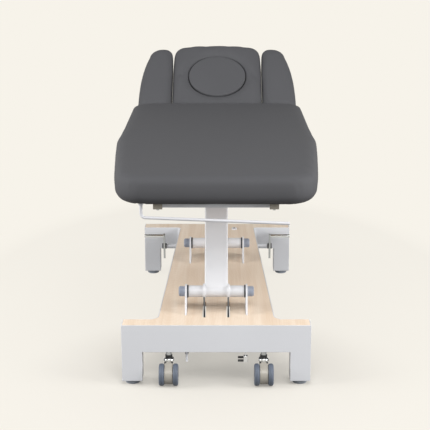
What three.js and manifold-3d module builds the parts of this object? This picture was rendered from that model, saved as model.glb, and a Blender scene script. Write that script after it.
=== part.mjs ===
// Electric height-adjustable treatment couch on a panelled base.
// Millimetres. +Z is up, +Y points to the head end, +X is to the right seen from the foot end.
// The group is shifted along Y so that its origin lies on the floor, under the middle of its box.
import * as THREE from 'three';
import { mergeVertices } from 'three/addons/utils/BufferGeometryUtils.js';
import Module from 'manifold-3d';

const wasm = await Module();
wasm.setup();

// Clearances and stock
const fitGap = 0.3;
const overrun = 8;
const sheet = 3;
const lugThickness = 6;
const roundSides = 20;
const smallSides = 12;
const faceSides = 36;

// Base
const frameWidth = 633;
const frameDepth = 65;
const baseLength = 1312;
const baseHeight = 213;
const beamBottom = 118;
const legWidth = 68;
const footHeight = 15;
const footDiameter = 50;
const soleShare = 0.86;
const footStemDiameter = 10;
const footStemLength = 18;
const inlayThickness = 15;
const spineFrontWidth = 397;
const spineRearWidth = 322;
const spineDepth = 80;
const spineFrontFillet = 30;
const spineRearFillet = 14;

// Lift: pivots, arms and the levers that the actuator pulls
const pivotRise = 66;
const frontPivotY = -493;
const pivotSpacing = 608;
const armLength = 383;
const armLean = 33;
const topPivotDrop = 24.8;
const tubeDiameter = 40;
const armBoxWidth = 80;
const armBoxDepth = 38;
const cableHoleDiameter = 20;
const cableHoleShare = 0.8;
const shaftDiameter = 24;
const pivotPlateX = 104;
const pivotPlateBase = 120;
const pivotPlateRadius = 25;
const bushFlangeDiameter = 44;
const bushFlangeThickness = 5;
const bushSleeveWall = 3;
const capDiameter = 36;
const capEndDiameter = 33;
const capLength = 22;
const leverX = 41.5;
const leverLean = 10;
const leverSwing = 35;
const leverTopRadius = 25;
const leverTipRadius = 13;
const leverPinDiameter = 16;
const leverSlotWidth = 12;

// Actuator in the spine
const yokeWidth = 34;
const yokeWall = 6;
const yokeSlack = 3;
const yokeClearance = 3.5;
const rodDiameter = 20;
const actuatorTubeDiameter = 44;
const actuatorTubeLength = 235;
const rodInsert = 155;
const motorLength = 96;
const motorWidth = 100;
const motorHeight = 50;
const tailEyeRadius = 14;
const tailPinDiameter = 12;
const controlBoxLength = 200;
const controlBoxWidth = 120;
const controlBoxHeight = 44;
const controlBoxY = 170;
const inletWidth = 30;
const inletHeight = 24;
const inletDepth = 14;

// Caster frame, casters and the pedals that push the casters down
const casterX = 160;
const casterTrail = 31;
const wheelDiameter = 75;
const wheelWidth = 18;
const casterWidth = 65;
const tyreRound = 6;
const axleDiameter = 8;
const casterNeckDiameter = 20;
const casterHeadDiameter = 38;
const casterHeadHeight = 19;
const crownEndShare = 0.8;
const crownLowShare = 0.3;
const crownHighShare = 0.75;
const forkRoundShare = 0.86;
const wheelRimShare = 0.7;
const casterHeadGap = 4;
const runnerX = 110;
const runnerWidth = 20;
const runnerHeight = 18;
const casterBeamLength = 400;
const guidePinX = -99;
const guidePinDiameter = 8;
const guidePinDrop = 39;
const pedalShaftY = 537;
const pedalShaftRise = 9.3;
const pedalShaftDiameter = 16;
const pedalTurn = 60;
const casterTravel = 12;
const camHeelShare = 0.7;
const camThickness = 12;
const pedalX = 228;
const pedalPlateThickness = 8;
const pedalPlateWidth = 26;
const pedalBarHeight = 45;
const pedalBarDiameter = 15;
const pedalBarLength = 86;
const pedalTailLength = 50;
const pedalTailWidth = 12;

// Top frame and main cushion
const topFrameHeight = 25;
const topFrameWidth = 402;
const railWidth = 30;
const crossWidth = 30;
const footCrossY = -673;
const headCrossY = 735;
const mountWidth = 64;
const topLugRadius = 22;
const cushionThickness = 75;
const cushionFootY = -748;
const cushionHeadY = 780;
const cushionHalfWidth = 373;
const cushionFootTaper = 52;
const taperStartY = -40;
const taperCurve = 1.1;
const cushionFootCorner = 110;
const cushionHeadCorner = 38;
const boardThickness = 15;
const boardInset = 34;
const crownHeight = 5;
const topEdgeRadius = 26;
const bottomEdgeRadius = 16;
const bottomDrawIn = 9;

// Head section, in its own frame: Y runs up the section from the hinge line, Z is square to it
const headHingeY = 816.5;
const headHingeDrop = 10;
const headTilt = 35.5;
const headTop = 85;
const headThickness = 67;
const headBoardThickness = 12;
const headBoardInset = 28;
const headNear = 10;
const headFar = 429;
const headHalfWidth = 195;
const headWidthTaper = 3;
const headFarCorner = 42;
const headNearCorner = 16;
const headArch = 15;
const faceHoleY = 209;
const faceHoleDiameter = 262;
const plugDiameter = 258;
const plugEdgeShare = 0.3;
const boardHoleDiameter = 236;
const armPadInner = 208;
const armPadOuter = 350;
const armPadTaper = 60;
const armPadFar = 406;
const armPadOuterCorner = 62;
const armPadInnerCorner = 34;
const armPadNearCorner = 16;
const headRailX = 160;
const headRailWidth = 20;
const headRailHeight = 22;
const headRailEnd = 372;
const headCrossNear = 52;
const hingePinDiameter = 12;
const hingeEarRadius = 11;
const spacerDiameter = 18;
const armPivotY = 32;
const armPivotZ = 5;
const armPivotX = 216;
const armPlateLength = 240;
const armFlangeWidth = 70;

// Gas spring of the head section
const gasX = 138;
const gasAnchorY = -20;
const gasAnchorZ = -50;
const gasLugY = 120;
const gasLugZ = -12;
const gasTubeDiameter = 18;
const gasTubeLength = 102;
const gasNeckShare = 1.8;
const gasRodDiameter = 8;
const gasRodLength = 100;
const gasEyeRadius = 8;
const gasEyeThickness = 8;
const gasPinDiameter = 6;

// Release paddle under the far end of the head section
const paddleLength = 110;
const paddleReach = 38;
const paddleThickness = 4;
const paddleHubDiameter = 12;
const paddlePinDiameter = 6;
const paddleDrop = 10;

// Paper-roll rod at the foot end
const rollRodDiameter = 10;
const rollRodX = -240;
const rollRodY = -703;
const rollRodDrop = 54;
const rollRodBend = 14;
const rollRodSpan = 478;
const rollRodSwing = 9;
const rollSocketDiameter = 16;
const rollSocketLength = 11;

// Levels that follow from the sizes above
const webTop = baseHeight - inlayThickness;
const webUnder = webTop - sheet;
const pivotHeight = baseHeight + pivotRise;
const innerFaceY = baseLength / 2 - frameDepth;
const spineBottom = baseHeight - spineDepth;
const topPivotZ = pivotHeight + armLength * Math.cos(THREE.MathUtils.degToRad(armLean));
const frameUnder = topPivotZ + topPivotDrop;
const frameTop = frameUnder + topFrameHeight;
const headHingeZ = frameTop - headHingeDrop;
const rollRodZ = frameTop - rollRodDrop;
const runnerTop = beamBottom + runnerHeight;
const pedalShaftZ = runnerTop + pedalShaftRise;
const pivotYs = [frontPivotY, frontPivotY + pivotSpacing];
const casterYs = [-1, 1].map((direction) => direction * (innerFaceY + frameDepth / 2));
const cushionBottom = frameTop + fitGap;
const headBottom = headTop - headThickness;

// Finishes
const finish = (color, roughness, metalness) => (
  new THREE.MeshStandardMaterial({ color, roughness, metalness }));
const paintedSteel = finish('#cfcfd1', 0.45, 0.3);
const maple = finish('#e8cfae', 0.5, 0);
const vinyl = finish('#5f5f61', 0.55, 0);
const greyPlastic = finish('#7f8796', 0.5, 0);
const slateRubber = finish('#4c545f', 0.8, 0);
const creamPlastic = finish('#d9d3c6', 0.5, 0);
const blackPlastic = finish('#1d1e20', 0.5, 0);
const chrome = finish('#d6d8da', 0.15, 1);
const plywood = finish('#b08d62', 0.7, 0);

const radians = (degrees) => THREE.MathUtils.degToRad(degrees);
const couch = new THREE.Group();

// Shapes and booleans

// A manifold solid from a closed three.js geometry.
function solid(geometry) {
  const bare = geometry.clone();
  bare.deleteAttribute('normal');
  bare.deleteAttribute('uv');
  const merged = mergeVertices(bare, fitGap / 1000);
  return new wasm.Manifold(new wasm.Mesh({
    numProp: 3,
    vertProperties: new Float32Array(merged.attributes.position.array),
    triVerts: new Uint32Array(merged.index.array),
  }));
}

function geometryOf(body) {
  const made = body.getMesh();
  const geometry = new THREE.BufferGeometry();
  geometry.setAttribute('position', new THREE.BufferAttribute(made.vertProperties, 3));
  geometry.setIndex(new THREE.BufferAttribute(made.triVerts, 1));
  return geometry;
}

const join = (...bodies) => bodies.reduce((whole, body) => whole.add(body));
const cut = (body, ...tools) => tools.reduce((left, tool) => left.subtract(tool), body);

function addPiece(name, body, material, parent = couch) {
  const mesh = new THREE.Mesh(geometryOf(body), material);
  mesh.name = name;
  parent.add(mesh);
}

// A box between two corners.
function block(x0, x1, y0, y1, z0, z1) {
  const geometry = new THREE.BoxGeometry(x1 - x0, y1 - y0, z1 - z0);
  geometry.translate((x0 + x1) / 2, (y0 + y1) / 2, (z0 + z1) / 2);
  return solid(geometry);
}

function extruded(shape, depth, sides = smallSides / 3) {
  return new THREE.ExtrudeGeometry(shape, { depth, bevelEnabled: false, steps: 1, curveSegments: sides });
}

// An outline in X and Y, raised from z0 to z1.
function slabZ(shape, z0, z1) {
  return solid(extruded(shape, z1 - z0).translate(0, 0, z0));
}

// An outline in Y and Z, as thick as x0 to x1.
function slabX(shape, x0, x1) {
  const turn = new THREE.Matrix4().makeBasis(
    new THREE.Vector3(0, 1, 0), new THREE.Vector3(0, 0, 1), new THREE.Vector3(1, 0, 0));
  return solid(extruded(shape, x1 - x0).applyMatrix4(turn).translate(x0, 0, 0));
}

// An outline in X and Z, as thick as y0 to y1.
function slabY(shape, y0, y1) {
  return solid(extruded(shape, y1 - y0).rotateX(Math.PI / 2).translate(0, y1, 0));
}

const outlineOf = (points) => new THREE.Shape(points.map(([u, v]) => new THREE.Vector2(u, v)));

// A round bar along one axis, from one end to the other.
function bar(axis, radius, from, to, at, sides = roundSides) {
  const geometry = new THREE.CylinderGeometry(radius, radius, to - from, sides);
  const middle = (from + to) / 2;
  if (axis === 'x') geometry.rotateZ(-Math.PI / 2).translate(middle, at[0], at[1]);
  if (axis === 'y') geometry.translate(at[0], middle, at[1]);
  if (axis === 'z') geometry.rotateX(Math.PI / 2).translate(at[0], at[1], middle);
  return solid(geometry);
}

// A turned piece along X: the profile lists radius and distance from x, towards the given side.
function turnedX(profile, x, y, z, side, sides = roundSides) {
  const ordered = side > 0 ? profile : profile.map(([r, a]) => [r, -a]).reverse();
  const points = ordered.map(([r, a]) => new THREE.Vector2(r, a));
  return solid(new THREE.LatheGeometry(points, sides).rotateZ(-Math.PI / 2).translate(x, y, z));
}

// A turned piece along Z: the profile lists radius and height above z.
function turnedZ(profile, x, y, z, sides = roundSides) {
  const points = profile.map(([r, a]) => new THREE.Vector2(r, a));
  return solid(new THREE.LatheGeometry(points, sides).rotateX(Math.PI / 2).translate(x, y, z));
}

function turnAboutX(body, degrees, y, z) {
  const geometry = geometryOf(body).translate(0, -y, -z).rotateX(radians(degrees)).translate(0, y, z);
  return solid(geometry);
}

// A plate outline with a flat foot and a round head above or below it, drawn tangent to the head.
function roundHeadPlate(footFrom, footTo, footLevel, rise, headU, headV, radius) {
  const direction = Math.sign(headV - footLevel);
  const height = Math.abs(headV - footLevel);
  const shape = new THREE.Shape();
  const touch = (u, side) => {
    const du = u - headU;
    const dv = rise - height;
    return Math.atan2(dv, du) + side * Math.acos(radius / Math.hypot(du, dv));
  };
  shape.moveTo(footFrom, 0);
  shape.lineTo(footTo, 0);
  shape.lineTo(footTo, rise);
  shape.absarc(headU, height, radius, touch(footTo, 1), touch(footFrom, -1) + 2 * Math.PI, false);
  shape.lineTo(footFrom, rise);
  return outlineOf(shape.getPoints(smallSides / 3).map((p) => [p.x, footLevel + direction * p.y]));
}

// A straight link outline with a round end of its own radius at each pin.
function linkOutline(u0, v0, r0, u1, v1, r1) {
  const along = Math.atan2(v1 - v0, u1 - u0);
  const spread = Math.acos((r0 - r1) / Math.hypot(u1 - u0, v1 - v0));
  const shape = new THREE.Shape();
  shape.absarc(u0, v0, r0, along + spread, along - spread + 2 * Math.PI, false);
  shape.absarc(u1, v1, r1, along - spread, along + spread, false);
  return shape;
}

// Outline of a cushion, moved inwards by an inset. Its two sides are functions of Y, its corners are
// rounded one by one and its far end may be arched.
function cushionOutline(plan, inset = 0) {
  const near = plan.near + inset;
  const far = plan.far - inset;
  const left = (y) => plan.left(y) + inset;
  const right = (y) => plan.right(y) - inset;
  const [nearLeft, nearRight, farRight, farLeft] = plan.corners.map((r) => Math.max(r - inset, sheet));
  const cornerSteps = 4;
  const sideSteps = 5;
  const endSteps = 5;
  const points = [];
  const endY = (x, y, bulge) => {
    const middle = (left(y) + right(y)) / 2;
    const reach = (right(y) - left(y)) / 2;
    return y - bulge * ((x - middle) / reach) ** 2;
  };
  const corner = (side, y, toY, radius, fromAngle) => {
    const hubX = side(y + toY * radius) - Math.sign(side(y) - (left(y) + right(y)) / 2) * radius;
    for (let i = 0; i <= cornerSteps; i += 1) {
      const angle = fromAngle + (Math.PI / 2) * (i / cornerSteps);
      const x = hubX + radius * Math.cos(angle);
      const level = toY < 0 ? endY(x, y, plan.arch) - radius : y + radius;
      points.push(new THREE.Vector2(x, level + radius * Math.sin(angle)));
    }
  };
  const side = (edge, fromY, toY) => {
    for (let i = 1; i < sideSteps; i += 1) {
      const y = fromY + (toY - fromY) * (i / sideSteps);
      points.push(new THREE.Vector2(edge(y), y));
    }
  };
  const end = (y, fromX, toX, bulge) => {
    for (let i = 1; i < endSteps; i += 1) {
      const x = fromX + (toX - fromX) * (i / endSteps);
      points.push(new THREE.Vector2(x, endY(x, y, bulge)));
    }
  };
  corner(right, near, 1, nearRight, -Math.PI / 2);
  side(right, near + nearRight, far - farRight);
  corner(right, far, -1, farRight, 0);
  end(far, right(far - farRight) - farRight, left(far - farLeft) + farLeft, plan.arch);
  corner(left, far, -1, farLeft, Math.PI / 2);
  side(left, far - farLeft, near + nearLeft);
  corner(left, near, 1, nearLeft, Math.PI);
  end(near, left(near + nearLeft) + nearLeft, right(near + nearRight) - nearRight, 0);
  return points;
}

// The board inside a cushion: the same outline, further in.
function boardShape(plan, inset) {
  return new THREE.Shape(cushionOutline(plan, inset));
}

// A closed form from rings of the same number of points, with a middle point below and above.
function loft(rings, bottomMiddle, topMiddle) {
  const count = rings[0].length;
  const positions = rings.flat();
  const faces = [];
  for (let ring = 0; ring + 1 < rings.length; ring += 1) {
    for (let i = 0; i < count; i += 1) {
      const a = ring * count + i;
      const b = ring * count + ((i + 1) % count);
      faces.push(a, b, b + count, a, b + count, a + count);
    }
  }
  const bottom = positions.push(bottomMiddle) - 1;
  const top = positions.push(topMiddle) - 1;
  const last = (rings.length - 1) * count;
  for (let i = 0; i < count; i += 1) {
    const next = (i + 1) % count;
    faces.push(bottom, next, i);
    faces.push(top, last + i, last + next);
  }
  const geometry = new THREE.BufferGeometry().setFromPoints(positions);
  geometry.setIndex(faces);
  return solid(geometry);
}

// A crowned cushion: round lower and upper edges, sides drawn in below, a low dome on top.
function cushion(plan, bottom, thickness) {
  const halfway = (plan.near + plan.far) / 2;
  const middle = new THREE.Vector2((plan.left(halfway) + plan.right(halfway)) / 2, halfway);
  const edgeTop = bottom + thickness - crownHeight;
  const lowerSteps = 2;
  const upperSteps = 3;
  const crownShares = [0.12, 0.4];
  const ringAt = (inset, z) => cushionOutline(plan, inset)
    .map((p) => new THREE.Vector3(p.x, p.y, z));
  const rings = [];
  for (let i = 0; i <= lowerSteps; i += 1) {
    const angle = (Math.PI / 2) * (i / lowerSteps);
    const inset = bottomDrawIn * (1 - Math.sin(angle));
    rings.push(ringAt(inset, bottom + bottomEdgeRadius * (1 - Math.cos(angle))));
  }
  for (let i = 0; i <= upperSteps; i += 1) {
    const angle = (Math.PI / 2) * (i / upperSteps);
    const inset = topEdgeRadius * (1 - Math.cos(angle));
    rings.push(ringAt(inset, edgeTop - topEdgeRadius * (1 - Math.sin(angle))));
  }
  const rim = rings[rings.length - 1];
  for (const share of crownShares) {
    const height = edgeTop + crownHeight * (1 - (1 - share) ** 2);
    rings.push(rim.map((p) => new THREE.Vector3(
      p.x + (middle.x - p.x) * share, p.y + (middle.y - p.y) * share, height)));
  }
  const top = new THREE.Vector3(middle.x, middle.y, bottom + thickness);
  return loft(rings, new THREE.Vector3(middle.x, middle.y, bottom), top);
}

// Base

// Half width of the spine at a given Y: it narrows evenly from the front to the rear frame.
function spineHalf(y) {
  const share = (y + innerFaceY) / (2 * innerFaceY);
  return (spineFrontWidth + (spineRearWidth - spineFrontWidth) * share) / 2;
}

// Plan of the spine: straight slanted sides that flare into both frames.
function spinePlan(inset, reach = 0) {
  const arcSteps = 6;
  const side = [];
  const flare = (endY, direction, fillet) => {
    const hubY = endY + direction * fillet;
    const hubX = spineHalf(hubY) + fillet;
    const arc = [];
    for (let i = 0; i <= arcSteps; i += 1) {
      const angle = (Math.PI / 2) * (i / arcSteps);
      const radius = fillet + inset;
      arc.push([hubX - radius * Math.sin(angle), hubY - direction * radius * Math.cos(angle)]);
    }
    return [[arc[0][0], arc[0][1] - direction * reach], ...(reach > 0 ? arc : arc.slice(1))];
  };
  side.push(...flare(-innerFaceY + fitGap, 1, spineFrontFillet));
  side.push(...flare(innerFaceY - fitGap, -1, spineRearFillet).reverse());
  const mirrored = side.map(([x, y]) => [-x, y]).reverse();
  return outlineOf([...side, ...mirrored]);
}

// Half width of the opening in a frame's inner wall, where the panel runs through.
function mouthHalf(direction) {
  const fillet = direction < 0 ? spineFrontFillet : spineRearFillet;
  return spineHalf(direction * innerFaceY) + fillet / 2;
}

// One end frame: a folded sheet portal, open below the beam, with a recess for the wood on top.
function endFrame(direction) {
  const half = frameWidth / 2;
  const legInner = half - legWidth;
  const nearY = direction < 0 ? -baseLength / 2 : innerFaceY;
  const farY = nearY + frameDepth;
  const portal = outlineOf([
    [-half, footHeight], [-legInner, footHeight], [-legInner, beamBottom], [legInner, beamBottom],
    [legInner, footHeight], [half, footHeight], [half, baseHeight], [-half, baseHeight],
  ]);
  const legWall = legInner + sheet;
  const cavity = outlineOf([
    [-half + sheet, footHeight + sheet], [-legWall, footHeight + sheet], [-legWall, beamBottom],
    [-legInner, beamBottom], [-legInner, beamBottom - overrun], [legInner, beamBottom - overrun],
    [legInner, beamBottom], [legWall, beamBottom], [legWall, footHeight + sheet],
    [half - sheet, footHeight + sheet], [half - sheet, webUnder], [-half + sheet, webUnder],
  ]);
  const recess = block(-half + sheet, half - sheet, nearY + sheet, farY - sheet,
    webTop, baseHeight + overrun);
  const wallY = direction * innerFaceY;
  const mouth = mouthHalf(direction);
  const opening = block(-mouth, mouth, wallY - overrun, wallY + overrun, webTop, baseHeight + overrun);
  const runnerHalf = runnerWidth / 2 + fitGap;
  const notches = [-1, 1].map((side) => block(
    side * runnerX - runnerHalf, side * runnerX + runnerHalf,
    wallY - overrun, wallY + overrun, beamBottom - overrun, runnerTop + fitGap));
  const stemY = nearY + frameDepth / 2;
  const stemHoles = [-1, 1].map((side) => bar('z', footStemDiameter / 2 + fitGap,
    footHeight - overrun, footHeight + overrun, [side * (half - legWidth / 2), stemY], smallSides));
  return cut(slabY(portal, nearY, farY), slabY(cavity, nearY + sheet, farY - sheet),
    recess, opening, ...notches, ...stemHoles);
}

function foot(x, y) {
  const radius = footDiameter / 2;
  const sole = radius * soleShare;
  const stem = footStemDiameter / 2;
  const top = footHeight - fitGap;
  return turnedZ([
    [0, 0], [sole, 0], [radius, top / 2], [radius, top], [stem, top],
    [stem, top + footStemLength], [0, top + footStemLength],
  ], x, y, 0, roundSides);
}

// Half length of the slot that a lever sweeps through the web and the wood.
function leverSlotHalf() {
  const drop = pivotHeight - webUnder;
  const swing = radians(leverSwing);
  const leverHalf = leverTopRadius + (leverTipRadius - leverTopRadius) * (drop / leverReach);
  return drop * Math.tan(swing) + leverHalf / Math.cos(swing) + sheet;
}

function leverSlots(bottom, top) {
  const reach = leverSlotHalf();
  return [-1, 1].map((side) => block(
    side * leverX - leverSlotWidth / 2, side * leverX + leverSlotWidth / 2,
    frontPivotY - reach, frontPivotY + reach, bottom, top));
}

const yokeHalfLength = leverPinDiameter / 2 + yokeSlack + yokeWall;
const pinHigh = webUnder - yokeClearance - yokeWall - fitGap * 3 - leverPinDiameter / 2;
const leverReach = (pivotHeight - pinHigh) / Math.cos(radians(leverSwing));
const leverPinY = frontPivotY + leverReach * Math.sin(radians(leverLean));
const leverPinZ = pivotHeight - leverReach * Math.cos(radians(leverLean));
const pinLow = pivotHeight - leverReach;
const actuatorZ = (pinLow + pinHigh) / 2;
const actuatorTubeY = frontPivotY + leverReach * Math.sin(radians(leverSwing)) + yokeHalfLength + yokeWall;
const motorY = actuatorTubeY + actuatorTubeLength;
const tailPinY = motorY + motorLength + tailEyeRadius * 2;

// Folded spine between the frames: side walls, the web under the wood and the actuator's lugs.
function spineTray() {
  const walls = slabZ(spinePlan(0), spineBottom, baseHeight);
  const below = slabZ(spinePlan(sheet, overrun), spineBottom - overrun, webUnder);
  const above = slabZ(spinePlan(sheet, overrun), webTop, baseHeight + overrun);
  const lug = new THREE.Shape();
  lug.moveTo(tailPinY + tailEyeRadius, webUnder + sheet / 2);
  lug.lineTo(tailPinY - tailEyeRadius, webUnder + sheet / 2);
  lug.lineTo(tailPinY - tailEyeRadius, actuatorZ);
  lug.absarc(tailPinY, actuatorZ, tailEyeRadius, Math.PI, 2 * Math.PI, false);
  const lugInner = yokeWidth / 2 + fitGap;
  const lugs = [-lugInner - lugThickness, lugInner].map((from) => slabX(lug, from, from + lugThickness));
  const tailPin = bar('x', tailPinDiameter / 2, -lugInner - lugThickness / 2, lugInner + lugThickness / 2,
    [tailPinY, actuatorZ], smallSides);
  const shaftHole = bar('x', pedalShaftDiameter / 2 + fitGap, -frameWidth / 2, frameWidth / 2,
    [pedalShaftY, pedalShaftZ], smallSides);
  const tray = cut(walls, below, above, ...leverSlots(webUnder - overrun, baseHeight), shaftHole);
  return join(tray, ...lugs, tailPin);
}

// Wood panel: a strip over each frame and the tapering piece between them, slotted for plates and levers.
function woodInlay() {
  const skirt = sheet + fitGap;
  const bottom = webTop + fitGap;
  const half = frameWidth / 2 - skirt;
  const strips = [-1, 1].map((direction) => {
    const outer = direction * (baseLength / 2 - skirt);
    const inner = direction * (innerFaceY + skirt);
    return block(-half, half, Math.min(outer, inner), Math.max(outer, inner), bottom, baseHeight);
  });
  const necks = [-1, 1].map((direction) => {
    const reach = mouthHalf(direction) - fitGap;
    const inner = direction * (innerFaceY - fitGap);
    const outer = direction * (innerFaceY + skirt * 2);
    return block(-reach, reach, Math.min(inner, outer), Math.max(inner, outer), bottom, baseHeight);
  });
  const plan = slabZ(spinePlan(skirt, overrun), bottom, baseHeight);
  const tapered = plan.intersect(block(-half, half, -innerFaceY, innerFaceY, bottom, baseHeight));
  const plateHalf = pivotPlateBase / 2 + fitGap * 4;
  const plateSlots = pivotYs.flatMap((y) => [-1, 1].map((side) => block(
    side * pivotPlateX - lugThickness / 2 - fitGap * 3, side * pivotPlateX + lugThickness / 2 + fitGap * 3,
    y - plateHalf, y + plateHalf, bottom - overrun, baseHeight + overrun)));
  return cut(join(...strips, tapered, ...necks), ...plateSlots,
    ...leverSlots(bottom - overrun, baseHeight + overrun));
}

// A pivot plate stands on the web, passes the wood in a slot and carries a bush in its head.
function pivotPlate(side, y) {
  const outline = roundHeadPlate(y - pivotPlateBase / 2, y + pivotPlateBase / 2, webTop + fitGap,
    inlayThickness + lugThickness, y, pivotHeight, pivotPlateRadius);
  const x = side * pivotPlateX;
  const hole = shaftDiameter / 2 + bushSleeveWall + fitGap * 2;
  return cut(slabX(outline, x - lugThickness / 2, x + lugThickness / 2),
    bar('x', hole, x - overrun, x + overrun, [y, pivotHeight]));
}

function pivotBush(side, y) {
  const bore = shaftDiameter / 2 + fitGap;
  const sleeve = bore + bushSleeveWall;
  const flange = bushFlangeDiameter / 2;
  const start = pivotPlateX - lugThickness / 2 - bushFlangeThickness - fitGap;
  return turnedX([
    [bore, 0], [flange, 0], [flange, bushFlangeThickness], [sleeve, bushFlangeThickness],
    [sleeve, bushFlangeThickness + lugThickness], [bore, bushFlangeThickness + lugThickness], [bore, 0],
  ], side * start, y, pivotHeight, side);
}

function pivotCap(side, y) {
  const bore = shaftDiameter / 2 + fitGap;
  const radius = capDiameter / 2;
  const end = capEndDiameter / 2;
  const chamfer = capLength / 10;
  const depth = capLength - sheet;
  return turnedX([
    [0, depth], [bore, depth], [bore, 0], [radius, 0], [end, capLength - chamfer],
    [end - chamfer, capLength], [0, capLength],
  ], side * (pivotPlateX + lugThickness / 2 + fitGap), y, pivotHeight, side);
}

// Arms

// One lift arm in place: the tube at each pivot, the shafts in them and the hollow box between them.
function liftArm(y) {
  const inner = pivotPlateX - lugThickness / 2 - bushFlangeThickness - fitGap * 2;
  const shaftEnd = pivotPlateX + lugThickness / 2 + capLength - sheet - fitGap;
  const topZ = pivotHeight + armLength;
  const topInner = pivotPlateX - lugThickness / 2 - fitGap;
  const tubes = [bar('x', tubeDiameter / 2, -inner, inner, [y, pivotHeight]),
    bar('x', tubeDiameter / 2, -topInner, topInner, [y, topZ])];
  const lowShaft = bar('x', shaftDiameter / 2, -shaftEnd, shaftEnd, [y, pivotHeight]);
  const topEnd = pivotPlateX + lugThickness / 2 + sheet;
  const topShaft = bar('x', shaftDiameter / 2, -topEnd, topEnd, [y, topZ]);
  const halfWidth = armBoxWidth / 2;
  const halfDepth = armBoxDepth / 2;
  const box = block(-halfWidth, halfWidth, y - halfDepth, y + halfDepth, pivotHeight, topZ);
  const hollow = block(-halfWidth + sheet, halfWidth - sheet, y - halfDepth + sheet, y + halfDepth - sheet,
    pivotHeight + tubeDiameter / 2 + sheet, topZ - tubeDiameter / 2 - sheet);
  const cableHole = bar('y', cableHoleDiameter / 2, y, y + halfDepth + overrun,
    [0, pivotHeight + armLength * cableHoleShare], smallSides);
  const upright = cut(join(box, ...tubes, lowShaft, topShaft), hollow, cableHole);
  return turnAboutX(upright, -armLean, y, pivotHeight);
}

// The two levers on the front arm and the pin between their tips.
function driveLevers() {
  const outline = linkOutline(
    frontPivotY, pivotHeight, leverTopRadius, leverPinY, leverPinZ, leverTipRadius);
  const levers = [-1, 1].map((side) => slabX(outline,
    side * leverX - lugThickness / 2, side * leverX + lugThickness / 2));
  const pin = bar('x', leverPinDiameter / 2, -leverX, leverX, [leverPinY, leverPinZ], smallSides);
  return join(...levers, pin);
}

// Actuator

// Rod with a slotted yoke: the lever pin rises and falls in the slot as the levers swing.
function actuatorRod() {
  const slotHalf = leverPinDiameter / 2 + yokeSlack;
  const slotLow = pinLow - leverPinDiameter / 2 - fitGap * 3;
  const slotHigh = pinHigh + leverPinDiameter / 2 + fitGap * 3;
  const half = yokeWidth / 2;
  const body = block(-half, half, leverPinY - yokeHalfLength, leverPinY + yokeHalfLength,
    slotLow - yokeWall, slotHigh + yokeWall);
  const slot = block(-half - overrun, half + overrun, leverPinY - slotHalf, leverPinY + slotHalf,
    slotLow, slotHigh);
  const rod = bar('y', rodDiameter / 2, leverPinY + yokeHalfLength - yokeWall / 2,
    actuatorTubeY + rodInsert, [0, actuatorZ]);
  return join(cut(body, slot), rod);
}

function actuatorHousing() {
  const tubeRadius = actuatorTubeDiameter / 2;
  const tube = bar('y', tubeRadius, actuatorTubeY, motorY + sheet, [0, actuatorZ]);
  const bore = bar('y', rodDiameter / 2 + fitGap, actuatorTubeY - overrun, motorY - sheet, [0, actuatorZ]);
  const motor = block(-motorWidth / 2, motorWidth / 2, motorY, motorY + motorLength,
    webUnder - fitGap - motorHeight, webUnder - fitGap);
  const neck = block(-yokeWidth / 2, yokeWidth / 2, motorY + motorLength - sheet, tailPinY,
    actuatorZ - tailEyeRadius, actuatorZ + tailEyeRadius);
  const eye = bar('x', tailEyeRadius, -yokeWidth / 2, yokeWidth / 2, [tailPinY, actuatorZ]);
  const eyeBore = bar('x', tailPinDiameter / 2 + fitGap, -yokeWidth, yokeWidth,
    [tailPinY, actuatorZ], smallSides);
  return cut(join(tube, motor, neck, eye), bore, eyeBore);
}

function controlBox() {
  const top = webUnder - fitGap;
  const body = block(-controlBoxWidth / 2, controlBoxWidth / 2, controlBoxY, controlBoxY + controlBoxLength,
    top - controlBoxHeight, top);
  const socket = block(-inletWidth / 2, inletWidth / 2, controlBoxY + controlBoxLength - inletDepth,
    controlBoxY + controlBoxLength + overrun, top - controlBoxHeight / 2 - inletHeight / 2,
    top - controlBoxHeight / 2 + inletHeight / 2);
  return cut(body, socket);
}

// Appliance inlet in the end of the control box, with three blades in its well.
function mainsInlet() {
  const back = controlBoxY + controlBoxLength - inletDepth + fitGap;
  const front = controlBoxY + controlBoxLength;
  const middle = webUnder - fitGap - controlBoxHeight / 2;
  const half = inletWidth / 2 - fitGap;
  const halfHeight = inletHeight / 2 - fitGap;
  const body = block(-half, half, back, front, middle - halfHeight, middle + halfHeight);
  const well = block(-half + sheet, half - sheet, back + sheet, front + overrun,
    middle - halfHeight + sheet, middle + halfHeight - sheet);
  const bladeHalf = sheet / 4;
  const blades = [-1, 0, 1].map((place) => block(
    (place * half) / 2 - bladeHalf, (place * half) / 2 + bladeHalf, back + sheet / 2, front - sheet,
    middle - halfHeight / 4, middle + halfHeight / 4));
  return join(cut(body, well), ...blades);
}

// Casters

// Caster frame: a cross beam in each end frame, two runners between them and a guide pin at the front.
function casterFrame() {
  const beamHalf = casterBeamLength / 2;
  const slide = frameDepth / 2 - sheet - fitGap;
  const beams = casterYs.map((y) => block(
    -beamHalf, beamHalf, y - slide, y + slide, beamBottom, runnerTop));
  const runners = [-1, 1].map((side) => block(
    side * runnerX - runnerWidth / 2, side * runnerX + runnerWidth / 2,
    casterYs[0], casterYs[1], beamBottom, runnerTop));
  const stemHoles = casterYs.flatMap((y) => [-1, 1].map((side) => bar('z',
    casterNeckDiameter / 2 + fitGap, beamBottom - overrun, runnerTop + overrun, [side * casterX, y])));
  const pin = bar('z', guidePinDiameter / 2, beamBottom - guidePinDrop, runnerTop - sheet,
    [guidePinX, casterYs[0] - slide / 2], smallSides);
  return join(cut(join(...beams, ...runners), ...stemHoles), pin);
}

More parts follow.
